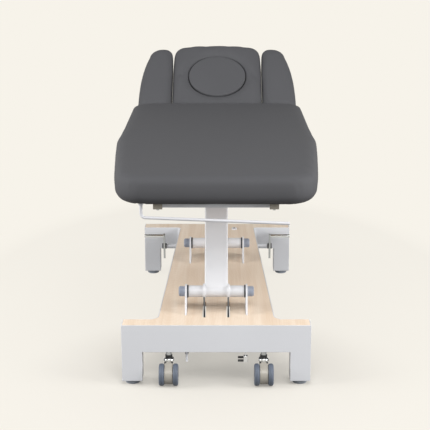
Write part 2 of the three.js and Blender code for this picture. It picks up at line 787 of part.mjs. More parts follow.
// Swivel body of a caster: stem, crown and the web between the two wheels, with the axle in it.
function casterBody(x, y) {
  const axleZ = wheelDiameter / 2;
  const axleY = y - casterTrail;
  const webHalf = casterWidth / 2 - wheelWidth - fitGap * 3;
  const radius = wheelDiameter / 2;
  const headLow = wheelDiameter + casterHeadGap;
  const neckRadius = casterNeckDiameter / 2;
  const headRadius = casterHeadDiameter / 2;
  const web = linkOutline(axleY, axleZ, radius * forkRoundShare, y, headLow + neckRadius / 2, neckRadius);
  const stemTop = runnerTop - sheet - headLow;
  const crown = turnedZ([
    [0, 0], [headRadius * crownEndShare, 0],
    [headRadius, casterHeadHeight * crownLowShare], [headRadius, casterHeadHeight * crownHighShare],
    [headRadius * crownEndShare, casterHeadHeight], [neckRadius, casterHeadHeight],
    [neckRadius, stemTop], [0, stemTop],
  ], x, y, headLow, roundSides);
  const axleHalf = casterWidth / 2 - sheet;
  const axle = bar('x', axleDiameter / 2, x - axleHalf, x + axleHalf, [axleY, axleZ], smallSides);
  return join(slabX(web, x - webHalf, x + webHalf), crown, axle);
}

function casterWheel(x, y, side) {
  const radius = wheelDiameter / 2;
  const bore = axleDiameter / 2 + fitGap;
  const dish = wheelWidth / 4;
  const rim = radius * wheelRimShare;
  const inner = x + side * (casterWidth / 2 - wheelWidth);
  return turnedX([
    [bore, 0], [radius - tyreRound, 0], [radius, tyreRound], [radius, wheelWidth - tyreRound],
    [radius - tyreRound, wheelWidth], [rim, wheelWidth], [rim - dish, wheelWidth - dish],
    [bore, wheelWidth - dish], [bore, 0],
  ], inner, y - casterTrail, radius, side, roundSides);
}

// Outline of a lifting cam for a flat runner: its reach grows evenly with the pedal's turn.
function camOutline() {
  const base = pedalShaftZ - runnerTop - fitGap;
  const turn = radians(pedalTurn);
  const rate = casterTravel / turn;
  const steps = 8;
  const shape = new THREE.Shape();
  const points = [];
  for (let i = 0; i <= steps; i += 1) {
    const angle = turn * (i / steps);
    const reach = base + rate * angle;
    const normal = -Math.PI / 2 - angle;
    points.push([
      pedalShaftY + reach * Math.cos(normal) + rate * Math.sin(normal),
      pedalShaftZ + reach * Math.sin(normal) - rate * Math.cos(normal),
    ]);
  }
  shape.moveTo(...points[0]);
  points.slice(1).forEach(([u, v]) => shape.lineTo(u, v));
  shape.lineTo(pedalShaftY - base, pedalShaftZ + base * camHeelShare);
  shape.lineTo(pedalShaftY, pedalShaftZ);
  shape.lineTo(pedalShaftY, pedalShaftZ - base);
  return shape;
}

function pedalShaft() {
  const end = pedalX + pedalPlateThickness / 2 + sheet;
  const shaft = bar('x', pedalShaftDiameter / 2, -end, end, [pedalShaftY, pedalShaftZ], smallSides);
  const hubRadius = pedalShaftZ - runnerTop - fitGap;
  const cams = [-1, 1].flatMap((side) => {
    const x = side * runnerX;
    const from = x - camThickness / 2;
    const to = x + camThickness / 2;
    return [slabX(camOutline(), from, to),
      bar('x', hubRadius, from, to, [pedalShaftY, pedalShaftZ], smallSides)];
  });
  return join(shaft, ...cams);
}

// Foot pedal: a plate on the shaft with a bar at its head and a tapered tail below.
function pedal(side) {
  const x = side * pedalX;
  const half = pedalPlateThickness / 2;
  const head = linkOutline(pedalShaftY, pedalShaftZ, pedalPlateWidth / 2,
    pedalShaftY, pedalShaftZ + pedalBarHeight, pedalBarDiameter / 2 + sheet);
  const tail = linkOutline(pedalShaftY, pedalShaftZ, pedalPlateWidth / 2,
    pedalShaftY, pedalShaftZ - pedalTailLength, pedalTailWidth / 2);
  const barFrom = side > 0 ? x - half : x - pedalBarLength;
  const footBar = bar('x', pedalBarDiameter / 2, barFrom, barFrom + pedalBarLength + half,
    [pedalShaftY, pedalShaftZ + pedalBarHeight], smallSides);
  const hole = bar('x', pedalShaftDiameter / 2 + fitGap, x - overrun, x + overrun,
    [pedalShaftY, pedalShaftZ], smallSides);
  return cut(join(slabX(head, x - half, x + half), slabX(tail, x - half, x + half), footBar), hole);
}

// Top

const topPivotYs = pivotYs.map((y) => y + armLength * Math.sin(radians(armLean)));

// Rectangular tube between two corners and its bore, which runs out of both ends along one axis.
function hollowTube(axis, x0, x1, y0, y1, z0, z1) {
  const outer = block(x0, x1, y0, y1, z0, z1);
  const reach = sheet + fitGap;
  const bore = axis === 'y'
    ? block(x0 + sheet, x1 - sheet, y0 - reach, y1 + reach, z0 + sheet, z1 - sheet)
    : block(x0 - reach, x1 + reach, y0 + sheet, y1 - sheet, z0 + sheet, z1 - sheet);
  return { outer, bore };
}

// Top frame: two rails, cross tubes, the lugs of both arms, the ears of the head hinge and the sockets.
function topFrame() {
  const half = topFrameWidth / 2;
  const inner = half - railWidth;
  const railEnd = headCrossY + crossWidth / 2;
  const footEnd = footCrossY - crossWidth / 2;
  const tubes = [-1, 1].map((side) => hollowTube('y',
    side > 0 ? inner : -half, side > 0 ? half : -inner, footEnd, railEnd, frameUnder, frameTop));
  for (const y of [footCrossY, headCrossY]) {
    tubes.push(hollowTube('x', -inner, inner, y - crossWidth / 2, y + crossWidth / 2, frameUnder, frameTop));
  }
  for (const y of topPivotYs) {
    tubes.push(hollowTube('x', -inner, inner, y - mountWidth / 2, y + mountWidth / 2, frameUnder, frameTop));
  }
  const lugs = topPivotYs.flatMap((y) => [-1, 1].map((side) => {
    const outline = roundHeadPlate(y - mountWidth / 2, y + mountWidth / 2, frameUnder + sheet / 2, sheet,
      y, topPivotZ, topLugRadius);
    const x = side * pivotPlateX;
    return slabX(outline, x - lugThickness / 2, x + lugThickness / 2);
  }));
  const lugHoles = topPivotYs.flatMap((y) => [-1, 1].map((side) => bar('x', shaftDiameter / 2 + fitGap,
    side * pivotPlateX - overrun, side * pivotPlateX + overrun, [y, topPivotZ])));
  const outside = join(...tubes.map((tube) => tube.outer), ...lugs);
  const shell = cut(outside, ...tubes.map((tube) => tube.bore), ...lugHoles);
  const earX = half - railWidth / 2;
  const ear = linkOutline(headCrossY, frameTop - topFrameHeight / 2, topFrameHeight / 2 - sheet / 2,
    headHingeY, headHingeZ, hingeEarRadius);
  const ears = [-1, 1].map((side) => cut(
    slabX(ear, side * earX - lugThickness / 2, side * earX + lugThickness / 2),
    bar('x', hingePinDiameter / 2 + fitGap, side * earX - overrun, side * earX + overrun,
      [headHingeY, headHingeZ], smallSides)));
  return join(shell, ...ears, gasBracket(), rollSocket());
}

// Bracket below the last cross tube, with the stub pin that the gas spring swings on.
function gasBracket() {
  const anchorY = headHingeY + gasAnchorY;
  const anchorZ = headHingeZ + gasAnchorZ;
  const inner = gasX + gasEyeThickness / 2 + fitGap;
  const plate = linkOutline(anchorY, anchorZ, gasEyeRadius, headCrossY, frameUnder, crossWidth / 2);
  const pin = bar('x', gasPinDiameter / 2, gasX - gasEyeThickness / 2 - fitGap, inner + sheet,
    [anchorY, anchorZ], smallSides);
  return join(slabX(plate, inner, inner + lugThickness), pin);
}

// Wing and socket of the paper-roll rod at the left foot corner, under the cushion.
function rollSocket() {
  const top = frameTop - sheet / 2;
  const bottom = top - rollSocketLength;
  const radius = rollSocketDiameter / 2;
  const boss = bar('z', radius, bottom, top, [rollRodX, rollRodY]);
  const bore = bar('z', rollRodDiameter / 2 + fitGap, bottom - overrun, top - sheet,
    [rollRodX, rollRodY], smallSides);
  const root = -topFrameWidth / 2 + sheet / 2;
  const wing = linkOutline(rollRodX, rollRodY, radius, root - crossWidth / 2, footCrossY, crossWidth / 2);
  const reachIn = block(root - crossWidth / 2, root,
    footCrossY - crossWidth / 2, footCrossY + crossWidth / 2, top - lugThickness, top);
  return cut(join(boss, slabZ(wing, top - lugThickness, top), reachIn), bore);
}

// A closed round rod through a list of points, each with the direction of the rod there.
function sweptRod(stations, radius) {
  const sideways = new THREE.Vector3(0, 1, 0);
  const rings = stations.map(({ at, along }) => {
    const across = along.clone().cross(sideways);
    return Array.from({ length: smallSides }, (_, i) => {
      const angle = (2 * Math.PI * i) / smallSides;
      return at.clone().addScaledVector(sideways, radius * Math.cos(angle))
        .addScaledVector(across, radius * Math.sin(angle));
    });
  });
  return loft(rings, stations[0].at, stations[stations.length - 1].at);
}

// L-shaped paper-roll rod, swung out a little towards the foot end.
function rollRod() {
  const top = frameTop - sheet * 1.5 - fitGap;
  const bendSteps = 6;
  const stations = [{ at: new THREE.Vector3(0, 0, top), along: new THREE.Vector3(0, 0, -1) }];
  for (let i = 0; i <= bendSteps; i += 1) {
    const angle = (Math.PI / 2) * (i / bendSteps);
    const sideways = rollRodBend * (1 - Math.cos(angle));
    const level = rollRodZ + rollRodBend * (1 - Math.sin(angle));
    stations.push({
      at: new THREE.Vector3(sideways, 0, level),
      along: new THREE.Vector3(Math.sin(angle), 0, -Math.cos(angle)),
    });
  }
  stations.push({ at: new THREE.Vector3(rollRodSpan, 0, rollRodZ), along: new THREE.Vector3(1, 0, 0) });
  const rod = geometryOf(sweptRod(stations, rollRodDiameter / 2));
  return solid(rod.rotateZ(-radians(rollRodSwing)).translate(rollRodX, rollRodY, 0));
}

// Cushions and boards

// Half width of the long cushion: it narrows towards the foot end.
function mainHalf(y) {
  const taperLength = taperStartY - cushionFootY;
  const share = Math.min(Math.max((taperStartY - y) / taperLength, 0), 1);
  return cushionHalfWidth - cushionFootTaper * share ** taperCurve;
}

const mainPlan = {
  near: cushionFootY,
  far: cushionHeadY,
  left: (y) => -mainHalf(y),
  right: mainHalf,
  corners: [cushionFootCorner, cushionFootCorner, cushionHeadCorner, cushionHeadCorner],
  arch: 0,
};

function headHalf(y) {
  return headHalfWidth - headWidthTaper * ((y - headNear) / (headFar - headNear));
}

const headPlan = {
  near: headNear,
  far: headFar,
  left: (y) => -headHalf(y),
  right: headHalf,
  corners: [headNearCorner, headNearCorner, headFarCorner, headFarCorner],
  arch: headArch,
};

function armPadOutside(y) {
  return armPadOuter - armPadTaper * Math.max(y / armPadFar, 0) ** 3;
}

function armPadPlan(side) {
  const inside = () => side * armPadInner;
  const outside = (y) => side * armPadOutside(y);
  const corners = [armPadNearCorner, armPadNearCorner, armPadOuterCorner, armPadInnerCorner];
  return {
    near: headNear,
    far: armPadFar,
    left: side > 0 ? inside : outside,
    right: side > 0 ? outside : inside,
    corners: side > 0 ? corners : [corners[1], corners[0], corners[3], corners[2]],
    arch: 0,
  };
}

function paddedCushion(plan, inset, bottom, thickness, board) {
  const pocket = slabZ(boardShape(plan, inset - fitGap), bottom - overrun, bottom + board + fitGap);
  return cut(cushion(plan, bottom, thickness), pocket);
}

function headCushion() {
  const hole = bar('z', faceHoleDiameter / 2, headBottom - overrun, headTop + overrun,
    [0, faceHoleY], faceSides);
  return cut(paddedCushion(headPlan, headBoardInset, headBottom, headThickness, headBoardThickness), hole);
}

function headBoard() {
  const hole = bar('z', boardHoleDiameter / 2, headBottom - overrun, headTop, [0, faceHoleY], faceSides);
  return cut(slabZ(boardShape(headPlan, headBoardInset), headBottom, headBottom + headBoardThickness), hole);
}

// The round plug of the face opening rests on the rim of the board.
function facePlug() {
  const radius = plugDiameter / 2;
  const bottom = headBottom + headBoardThickness + fitGap;
  const height = headTop - bottom;
  const edge = crownHeight * 2;
  const rim = height - crownHeight / 2;
  return turnedZ([
    [0, 0], [radius - sheet, 0], [radius, sheet], [radius, rim - edge],
    [radius - edge * plugEdgeShare, rim - edge * plugEdgeShare],
    [radius - edge, rim], [radius / 2, height - crownHeight / 8], [0, height],
  ], 0, faceHoleY, bottom, faceSides);
}

// Head section

// Frame of the head section: eyes on the hinge pin, cross bars, the arm pads' pins and the paddle's pin.
function headFrame() {
  const top = headBottom - fitGap;
  const bottom = top - headRailHeight;
  const eye = headRailHeight / 2;
  const railHalf = headRailWidth / 2;
  const inner = headRailX - railHalf;
  const rails = [-1, 1].flatMap((side) => {
    const x = side * headRailX;
    const neck = linkOutline(0, 0, eye, headCrossNear, (top + bottom) / 2, eye);
    return [slabX(neck, x - railHalf, x + railHalf),
      block(x - railHalf, x + railHalf, headCrossNear, headRailEnd, bottom, top)];
  });
  const crosses = [headCrossNear, headRailEnd - headRailWidth / 2].map((y) => block(
    -inner - sheet, inner + sheet, y - headRailWidth / 2, y + headRailWidth / 2, bottom, top));
  const pinEnd = armPivotX + lugThickness;
  const spacerEnd = armPivotX - lugThickness / 2 - fitGap;
  const stubPin = (side, radius, end) => bar('x', radius,
    side > 0 ? headRailX : -end, side > 0 ? end : -headRailX, [armPivotY, armPivotZ], smallSides);
  const armPins = [-1, 1].flatMap((side) => [
    stubPin(side, hingePinDiameter / 2, pinEnd), stubPin(side, spacerDiameter / 2, spacerEnd)]);
  const pinBore = bar('x', hingePinDiameter / 2 + fitGap, -headRailX - railWidth, headRailX + railWidth,
    [0, 0], smallSides);
  const lugInner = gasX + gasEyeThickness / 2 + fitGap;
  const gasLug = slabX(
    linkOutline(gasLugY, gasLugZ, gasEyeRadius, gasLugY, bottom + gasEyeRadius, gasEyeRadius),
    lugInner, inner + sheet);
  const paddleLugX = paddleLength / 2 + fitGap;
  const hubRadius = paddleHubDiameter / 2;
  const pinY = headRailEnd - headRailWidth;
  const pinZ = bottom - paddleDrop;
  const paddleLug = linkOutline(pinY, pinZ, hubRadius, pinY + hubRadius, bottom + hubRadius, hubRadius);
  const paddleLugs = [-paddleLugX - paddleThickness, paddleLugX]
    .map((from) => slabX(paddleLug, from, from + paddleThickness));
  const paddlePin = bar('x', paddlePinDiameter / 2, -paddleLugX - sheet, paddleLugX + sheet,
    [pinY, pinZ], smallSides);
  return join(cut(join(...rails, ...crosses), pinBore), ...armPins, gasLug, ...paddleLugs, paddlePin);
}

// Pin of the head hinge, with spacer sleeves between the frame's eyes and the ears.
function headHingePin() {
  const earInner = topFrameWidth / 2 - railWidth / 2 - lugThickness / 2 - fitGap;
  const end = earInner + lugThickness + sheet;
  const railOuter = headRailX + headRailWidth / 2 + fitGap;
  const at = [headHingeY, headHingeZ];
  const sleeves = [-1, 1].map((side) => bar('x', spacerDiameter / 2,
    side > 0 ? railOuter : -earInner, side > 0 ? earInner : -railOuter, at, smallSides));
  return join(bar('x', hingePinDiameter / 2, -end, end, at, smallSides), ...sleeves);
}

// Paddle that releases the gas spring.
function releasePaddle() {
  const bottom = headBottom - fitGap - headRailHeight;
  const pinY = headRailEnd - headRailWidth;
  const pinZ = bottom - paddleDrop;
  const half = paddleLength / 2;
  const hub = bar('x', paddleHubDiameter / 2, -half, half, [pinY, pinZ], smallSides);
  const bore = bar('x', paddlePinDiameter / 2 + fitGap, -half - overrun, half + overrun,
    [pinY, pinZ], smallSides);
  const blade = block(-half, half, pinY, pinY + paddleReach, pinZ - paddleThickness, pinZ);
  return cut(join(hub, blade), bore);
}

// Bracket of an arm pad: a plate that turns on the head frame's pin, with a flange under the pad's board.
function armFrame(side) {
  const top = headBottom - fitGap;
  const eye = top - armPivotZ;
  const end = armPivotY + armPlateLength;
  const x = side * armPivotX;
  const half = lugThickness / 2;
  const plate = linkOutline(armPivotY, armPivotZ, eye, end, top - sheet * 2, sheet * 2);
  const wing = armPivotX + armFlangeWidth;
  const flange = block(side > 0 ? armPivotX : -wing, side > 0 ? wing : -armPivotX,
    armPivotY + eye, end, top - sheet, top);
  const bore = bar('x', hingePinDiameter / 2 + fitGap, x - overrun, x + overrun,
    [armPivotY, armPivotZ], smallSides);
  return cut(join(slabX(plate, x - half, x + half), flange), bore);
}

const gasTurn = radians(headTilt);
const gasAt = { y: headHingeY + gasAnchorY, z: headHingeZ + gasAnchorZ };
const gasRun = {
  y: gasLugY * Math.cos(gasTurn) - gasLugZ * Math.sin(gasTurn) - gasAnchorY,
  z: gasLugY * Math.sin(gasTurn) + gasLugZ * Math.cos(gasTurn) - gasAnchorZ,
};
const gasLength = Math.hypot(gasRun.y, gasRun.z);
const gasLean = THREE.MathUtils.radToDeg(Math.atan2(gasRun.z, gasRun.y));

function gasCylinder() {
  const half = gasEyeThickness / 2;
  const start = gasEyeRadius * gasNeckShare;
  const eye = bar('x', gasEyeRadius, gasX - half, gasX + half, [gasAt.y, gasAt.z], smallSides);
  const neck = bar('y', half, gasAt.y, gasAt.y + start + sheet, [gasX, gasAt.z], smallSides);
  const tube = bar('y', gasTubeDiameter / 2, gasAt.y + start, gasAt.y + gasTubeLength, [gasX, gasAt.z]);
  const eyeBore = bar('x', gasPinDiameter / 2 + fitGap, gasX - overrun, gasX + overrun,
    [gasAt.y, gasAt.z], smallSides);
  const bore = bar('y', gasRodDiameter / 2 + fitGap, gasAt.y + start + sheet * 2,
    gasAt.y + gasTubeLength + overrun, [gasX, gasAt.z], smallSides);
  return turnAboutX(cut(join(eye, neck, tube), eyeBore, bore), gasLean, gasAt.y, gasAt.z);
}

function gasRod() {
  const half = gasEyeThickness / 2;
  const end = gasAt.y + gasLength;
  const rod = bar('y', gasRodDiameter / 2, end - gasRodLength, end, [gasX, gasAt.z], smallSides);
  const eye = bar('x', gasEyeRadius, gasX - half, gasX + half, [end, gasAt.z], smallSides);
  return turnAboutX(join(rod, eye), gasLean, gasAt.y, gasAt.z);
}

// Assembly

const sides = [['left', -1], ['right', 1]];
const ends = [['front', 0], ['rear', 1]];

for (const [end, i] of ends) {
  const direction = i * 2 - 1;
  addPiece(`${end}_frame`, endFrame(direction), paintedSteel);
  for (const [hand, side] of sides) {
    const corner = `${end}_${hand}`;
    addPiece(`foot_${corner}`, foot(side * (frameWidth / 2 - legWidth / 2), casterYs[i]), slateRubber);
    addPiece(`pivot_plate_${corner}`, pivotPlate(side, pivotYs[i]), paintedSteel);
    addPiece(`pivot_bush_${corner}`, pivotBush(side, pivotYs[i]), greyPlastic);
    addPiece(`pivot_cap_${corner}`, pivotCap(side, pivotYs[i]), greyPlastic);
    addPiece(`caster_fork_${corner}`, casterBody(side * casterX, casterYs[i]), creamPlastic);
    for (const [wheelHand, wheelSide] of sides) {
      const wheel = casterWheel(side * casterX, casterYs[i], wheelSide);
      addPiece(`wheel_${corner}_${wheelHand}`, wheel, greyPlastic);
    }
  }
}
addPiece('spine_tray', spineTray(), paintedSteel);
addPiece('wood_inlay', woodInlay(), maple);
addPiece('front_arm', join(liftArm(pivotYs[0]), driveLevers()), paintedSteel);
addPiece('rear_arm', liftArm(pivotYs[1]), paintedSteel);
addPiece('actuator_rod', actuatorRod(), chrome);
addPiece('actuator_housing', actuatorHousing(), blackPlastic);
addPiece('control_box', controlBox(), blackPlastic);
addPiece('mains_inlet', mainsInlet(), blackPlastic);
addPiece('caster_frame', casterFrame(), paintedSteel);
addPiece('pedal_shaft', pedalShaft(), chrome);
addPiece('top_frame', topFrame(), paintedSteel);
addPiece('roll_rod', rollRod(), paintedSteel);
addPiece('main_board',
  slabZ(boardShape(mainPlan, boardInset), cushionBottom, cushionBottom + boardThickness), plywood);
addPiece('main_cushion',
  paddedCushion(mainPlan, boardInset, cushionBottom, cushionThickness, boardThickness), vinyl);
addPiece('head_hinge_pin', headHingePin(), chrome);
addPiece('gas_spring_cylinder', gasCylinder(), blackPlastic);
addPiece('gas_spring_rod', gasRod(), chrome);

const headSection = new THREE.Group();
headSection.position.set(0, headHingeY, headHingeZ);
headSection.rotation.x = radians(headTilt);
couch.add(headSection);
addPiece('head_frame', headFrame(), paintedSteel, headSection);
addPiece('head_board', headBoard(), plywood, headSection);
addPiece('head_cushion', headCushion(), vinyl, headSection);
addPiece('face_plug', facePlug(), vinyl, headSection);
addPiece('release_paddle', releasePaddle(), blackPlastic, headSection);
for (const [hand, side] of sides) {
  const plan = armPadPlan(side);
  addPiece(`pedal_${hand}`, pedal(side), chrome);
  addPiece(`arm_frame_${hand}`, armFrame(side), paintedSteel, headSection);
  const board = slabZ(boardShape(plan, headBoardInset), headBottom, headBottom + headBoardThickness);
  const pad = paddedCushion(plan, headBoardInset, headBottom, headThickness, headBoardThickness);
  addPiece(`arm_board_${hand}`, board, plywood, headSection);
  addPiece(`arm_pad_${hand}`, pad, vinyl, headSection);
}

// Origin on the floor, in the middle of the couch's length
couch.updateMatrixWorld(true);
const extent = new THREE.Box3().setFromObject(couch, true);
couch.position.y = -(extent.min.y + extent.max.y) / 2;

export default couch;
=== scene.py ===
"""Electric treatment couch: cushions, panelled steel base, lift arms, castors and fittings, dressed over the frame."""
import math

import bmesh
import bpy
from mathutils import Matrix, Vector


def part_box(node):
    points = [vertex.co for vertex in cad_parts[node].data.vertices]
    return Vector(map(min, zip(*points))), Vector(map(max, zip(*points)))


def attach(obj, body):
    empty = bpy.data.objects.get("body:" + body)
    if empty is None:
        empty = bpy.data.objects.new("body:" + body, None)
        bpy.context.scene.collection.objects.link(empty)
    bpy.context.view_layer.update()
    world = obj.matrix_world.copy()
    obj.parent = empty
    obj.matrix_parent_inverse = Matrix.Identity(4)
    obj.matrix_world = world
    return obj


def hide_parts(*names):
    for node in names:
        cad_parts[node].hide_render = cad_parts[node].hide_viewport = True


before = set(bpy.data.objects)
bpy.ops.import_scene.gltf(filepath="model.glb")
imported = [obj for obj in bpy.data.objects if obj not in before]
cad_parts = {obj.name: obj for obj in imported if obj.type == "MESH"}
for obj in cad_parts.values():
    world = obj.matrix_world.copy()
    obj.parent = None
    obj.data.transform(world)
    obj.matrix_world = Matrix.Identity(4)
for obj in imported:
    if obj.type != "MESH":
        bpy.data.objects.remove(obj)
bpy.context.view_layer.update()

bl_info = {
    "name": "Treatment couch",
    "version": (1, 0, 0),
    "blender": (4, 5, 0),
    "location": "3D View > Sidebar > Couch",
    "description": "Builds the visible pieces of an electric treatment couch over its frame",
    "category": "Object",
}

MM = 0.001
BASE_Y = (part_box("front_frame")[0].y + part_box("rear_frame")[1].y) / 2
HINGE = Vector((0, (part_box("head_hinge_pin")[0].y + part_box("head_hinge_pin")[1].y) / 2,
                (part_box("head_hinge_pin")[0].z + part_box("head_hinge_pin")[1].z) / 2))
HEAD_TILT = 35.5
CORNERS = ("front_left", "front_right", "rear_left", "rear_right")


# Small helpers

def linear(hex_colour):
    """An sRGB hex colour as linear RGBA."""
    def channel(text):
        value = int(text, 16) / 255
        return value / 12.92 if value <= 0.04045 else ((value + 0.055) / 1.055) ** 2.4
    return tuple(channel(hex_colour[i:i + 2]) for i in (1, 3, 5)) + (1.0,)


def at(x, y, z):
    """A point given in millimetres from the middle of the base, as a place in the row frame."""
    return Vector((x * MM, y * MM + BASE_Y, z * MM))


def head_matrix():
    """Turns the head section's own frame into the row frame."""
    return Matrix.Translation(HINGE) @ Matrix.Rotation(math.radians(HEAD_TILT), 4, "X")


def make_object(name, bm, materials, smooth_angle=35):
    """A closed mesh as an object, its faces outwards and its flat faces told from its round ones."""
    bmesh.ops.remove_doubles(bm, verts=bm.verts, dist=1e-6)
    bmesh.ops.recalc_face_normals(bm, faces=bm.faces)
    mesh = bpy.data.meshes.new(name)
    bm.to_mesh(mesh)
    bm.free()
    obj = bpy.data.objects.new(name, mesh)
    bpy.context.scene.collection.objects.link(obj)
    for material in materials:
        mesh.materials.append(material)
    mesh.shade_smooth()
    mesh.set_sharp_from_angle(angle=math.radians(smooth_angle))
    return obj


def applied(obj):
    """The object with its modifiers worked into a plain mesh."""
    bpy.context.view_layer.update()
    graph = bpy.context.evaluated_depsgraph_get()
    mesh = bpy.data.meshes.new_from_object(obj.evaluated_get(graph), depsgraph=graph)
    mesh.name = obj.name
    obj.modifiers.clear()
    obj.data = mesh
    return obj


def round_edges(obj, width, segments=2, angle=40):
    """Rounds the hard edges by a width in millimetres, as a bent sheet or a moulding has them."""
    bevel = obj.modifiers.new("edge", "BEVEL")
    bevel.width = width * MM
    bevel.segments = segments
    bevel.limit_method = "ANGLE"
    bevel.angle_limit = math.radians(angle)
    bevel.harden_normals = False
    weighted = obj.modifiers.new("normals", "WEIGHTED_NORMAL")
    weighted.keep_sharp = False
    return applied(obj)


def seat(obj, body, replaced=()):
    """Lets a finished piece ride on its body, and hides the CAD nodes that it stands for."""
    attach(obj, body)
    if replaced:
        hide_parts(*replaced)
    return obj


def turned(bm, profile, origin, axis, segments=48, material=0):
    """Turns a closed profile of (radius, distance along the axis), in millimetres, about an axis."""
    direction = Vector(axis).normalized()
    across = direction.orthogonal().normalized()
    other = direction.cross(across)
    rings = []
    for radius, along in profile:
        middle = Vector(origin) + direction * (along * MM)
        if radius < 1e-6:
            rings.append([bm.verts.new(middle)])
            continue
        rings.append([bm.verts.new(middle + (across * math.cos(a) + other * math.sin(a)) * (radius * MM))
                      for a in (2 * math.pi * i / segments for i in range(segments))])
    pairs = list(zip(rings, rings[1:]))
    if len(rings[0]) > 1:
        pairs.append((rings[-1], rings[0]))
    for lower, upper in pairs:
        for i in range(segments):
            j = (i + 1) % segments
            corners = [lower[i % len(lower)], lower[j % len(lower)], upper[j % len(upper)], upper[i % len(upper)]]
            unique = list(dict.fromkeys(corners))
            if len(unique) > 2:
                bm.faces.new(unique).material_index = material


def prism(bm, outline, axis, low, high, material=0):
    """Extrudes an outline of row-frame pairs along an axis; the pairs are the other two coordinates in order."""
    def point(u, v, w):
        return {"x": (w, u, v), "y": (u, w, v), "z": (u, v, w)}[axis]
    rings = [[bm.verts.new(point(u, v, w)) for u, v in outline] for w in (low, high)]
    count = len(outline)
    for i in range(count):
        j = (i + 1) % count
        bm.faces.new((rings[0][i], rings[0][j], rings[1][j], rings[1][i])).material_index = material
    for ring in rings:
        bm.faces.new(ring).material_index = material


def box(bm, low, high, material=0):
    """A plain box between two corners, a step in a larger piece."""
    corners = [(low[0], low[1]), (high[0], low[1]), (high[0], high[1]), (low[0], high[1])]
    prism(bm, corners, "z", low[2], high[2], material)


def swept(bm, points, radius, segments=20, material=0):
    """A round bar through points in the row frame."""
    count = len(points)
    side = Vector((0, 0, 1)).cross(points[-1] - points[-2])
    side = side.normalized() if side.length > 1e-6 else Vector((0, 1, 0))
    rings = []
    for i, point in enumerate(points):
        along = (points[min(i + 1, count - 1)] - points[max(i - 1, 0)]).normalized()
        out = (side - along * side.dot(along)).normalized()
        up = along.cross(out)
        rings.append([bm.verts.new(point + (out * math.cos(a) + up * math.sin(a)) * radius)
                      for a in (2 * math.pi * k / segments for k in range(segments))])
    for lower, upper in zip(rings, rings[1:]):
        for k in range(segments):
            m = (k + 1) % segments
            bm.faces.new((lower[k], lower[m], upper[m], upper[k])).material_index = material
    for ring in (rings[0], rings[-1]):
        bm.faces.new(ring).material_index = material


def cad_copy(name, node, materials, width, segments=2, angle=40):
    """A merged copy of a CAD node with its flat faces joined and its edges rounded."""
    bm = bmesh.new()
    bm.from_mesh(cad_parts[node].data)
    bmesh.ops.remove_doubles(bm, verts=bm.verts, dist=2e-6)
    bmesh.ops.dissolve_limit(bm, angle_limit=math.radians(1), verts=bm.verts, edges=bm.edges)
    obj = make_object(name, bm, materials)
    return round_edges(obj, width, segments, angle)


# Materials

def add_node(tree, kind, inputs=None, **settings):
    """One shader or geometry node with its settings, its values and its links."""
    node = tree.nodes.new(kind)
    for key, value in settings.items():
        setattr(node, key, value)
    for key, value in (inputs or {}).items():
        if isinstance(value, bpy.types.NodeSocket):
            tree.links.new(value, node.inputs[key])
        else:
            node.inputs[key].default_value = value
    return node


def new_material(name, colour, roughness, metallic=0.0, **extra):
    """A material with one principled shader; returns the material, its tree and the shader."""
    material = bpy.data.materials.new(name)
    material.use_nodes = True
    tree = material.node_tree
    shader = tree.nodes["Principled BSDF"]
    shader.inputs["Base Color"].default_value = linear(colour)
    shader.inputs["Roughness"].default_value = roughness
    shader.inputs["Metallic"].default_value = metallic
    for key, value in extra.items():
        shader.inputs[key.replace("_", " ")].default_value = value
    return material, tree, shader


def spread(tree, shader, colour_low, colour_high, scale_mm, stretch=(1, 1, 1), roughness=None, detail=4.0):
    """Varies the colour, and the roughness too, between two values in soft patches of a size in millimetres."""
    place = add_node(tree, "ShaderNodeTexCoord")
    turn = add_node(tree, "ShaderNodeMapping", {"Vector": place.outputs["Object"], "Scale": stretch})
    noise = add_node(tree, "ShaderNodeTexNoise", {"Vector": turn.outputs["Vector"], "Scale": 1000 / scale_mm,
                                                  "Detail": detail, "Roughness": 0.55})
    mix = add_node(tree, "ShaderNodeMix", {0: noise.outputs["Fac"], 6: linear(colour_low), 7: linear(colour_high)},
                   data_type="RGBA")
    tree.links.new(mix.outputs[2], shader.inputs["Base Color"])
    if roughness:
        ramp = add_node(tree, "ShaderNodeMapRange", {"Value": noise.outputs["Fac"], "From Min": 0.3, "From Max": 0.7,
                                                     "To Min": roughness[0], "To Max": roughness[1]})
        tree.links.new(ramp.outputs["Result"], shader.inputs["Roughness"])
    return place


def relief(tree, shader, height, depth_mm, strength=1.0):
    """A bump of a given depth from a height socket."""
    bump = add_node(tree, "ShaderNodeBump", {"Height": height, "Distance": depth_mm * MM, "Strength": strength})
    tree.links.new(bump.outputs["Normal"], shader.inputs["Normal"])


def powder_coat(name, low, high, roughness):
    """Powder-coated steel: a satin film with a faint orange peel of 2 mm and slow, faint changes of tone."""
    material, tree, shader = new_material(name, high, roughness, IOR=1.5)
    place = spread(tree, shader, low, high, 180, roughness=(roughness - 0.05, roughness + 0.06))
    peel = add_node(tree, "ShaderNodeTexNoise", {"Vector": place.outputs["Object"], "Scale": 1000 / 2.0, "Detail": 1.0})
    relief(tree, shader, peel.outputs["Fac"], 0.05, 0.35)
    return material


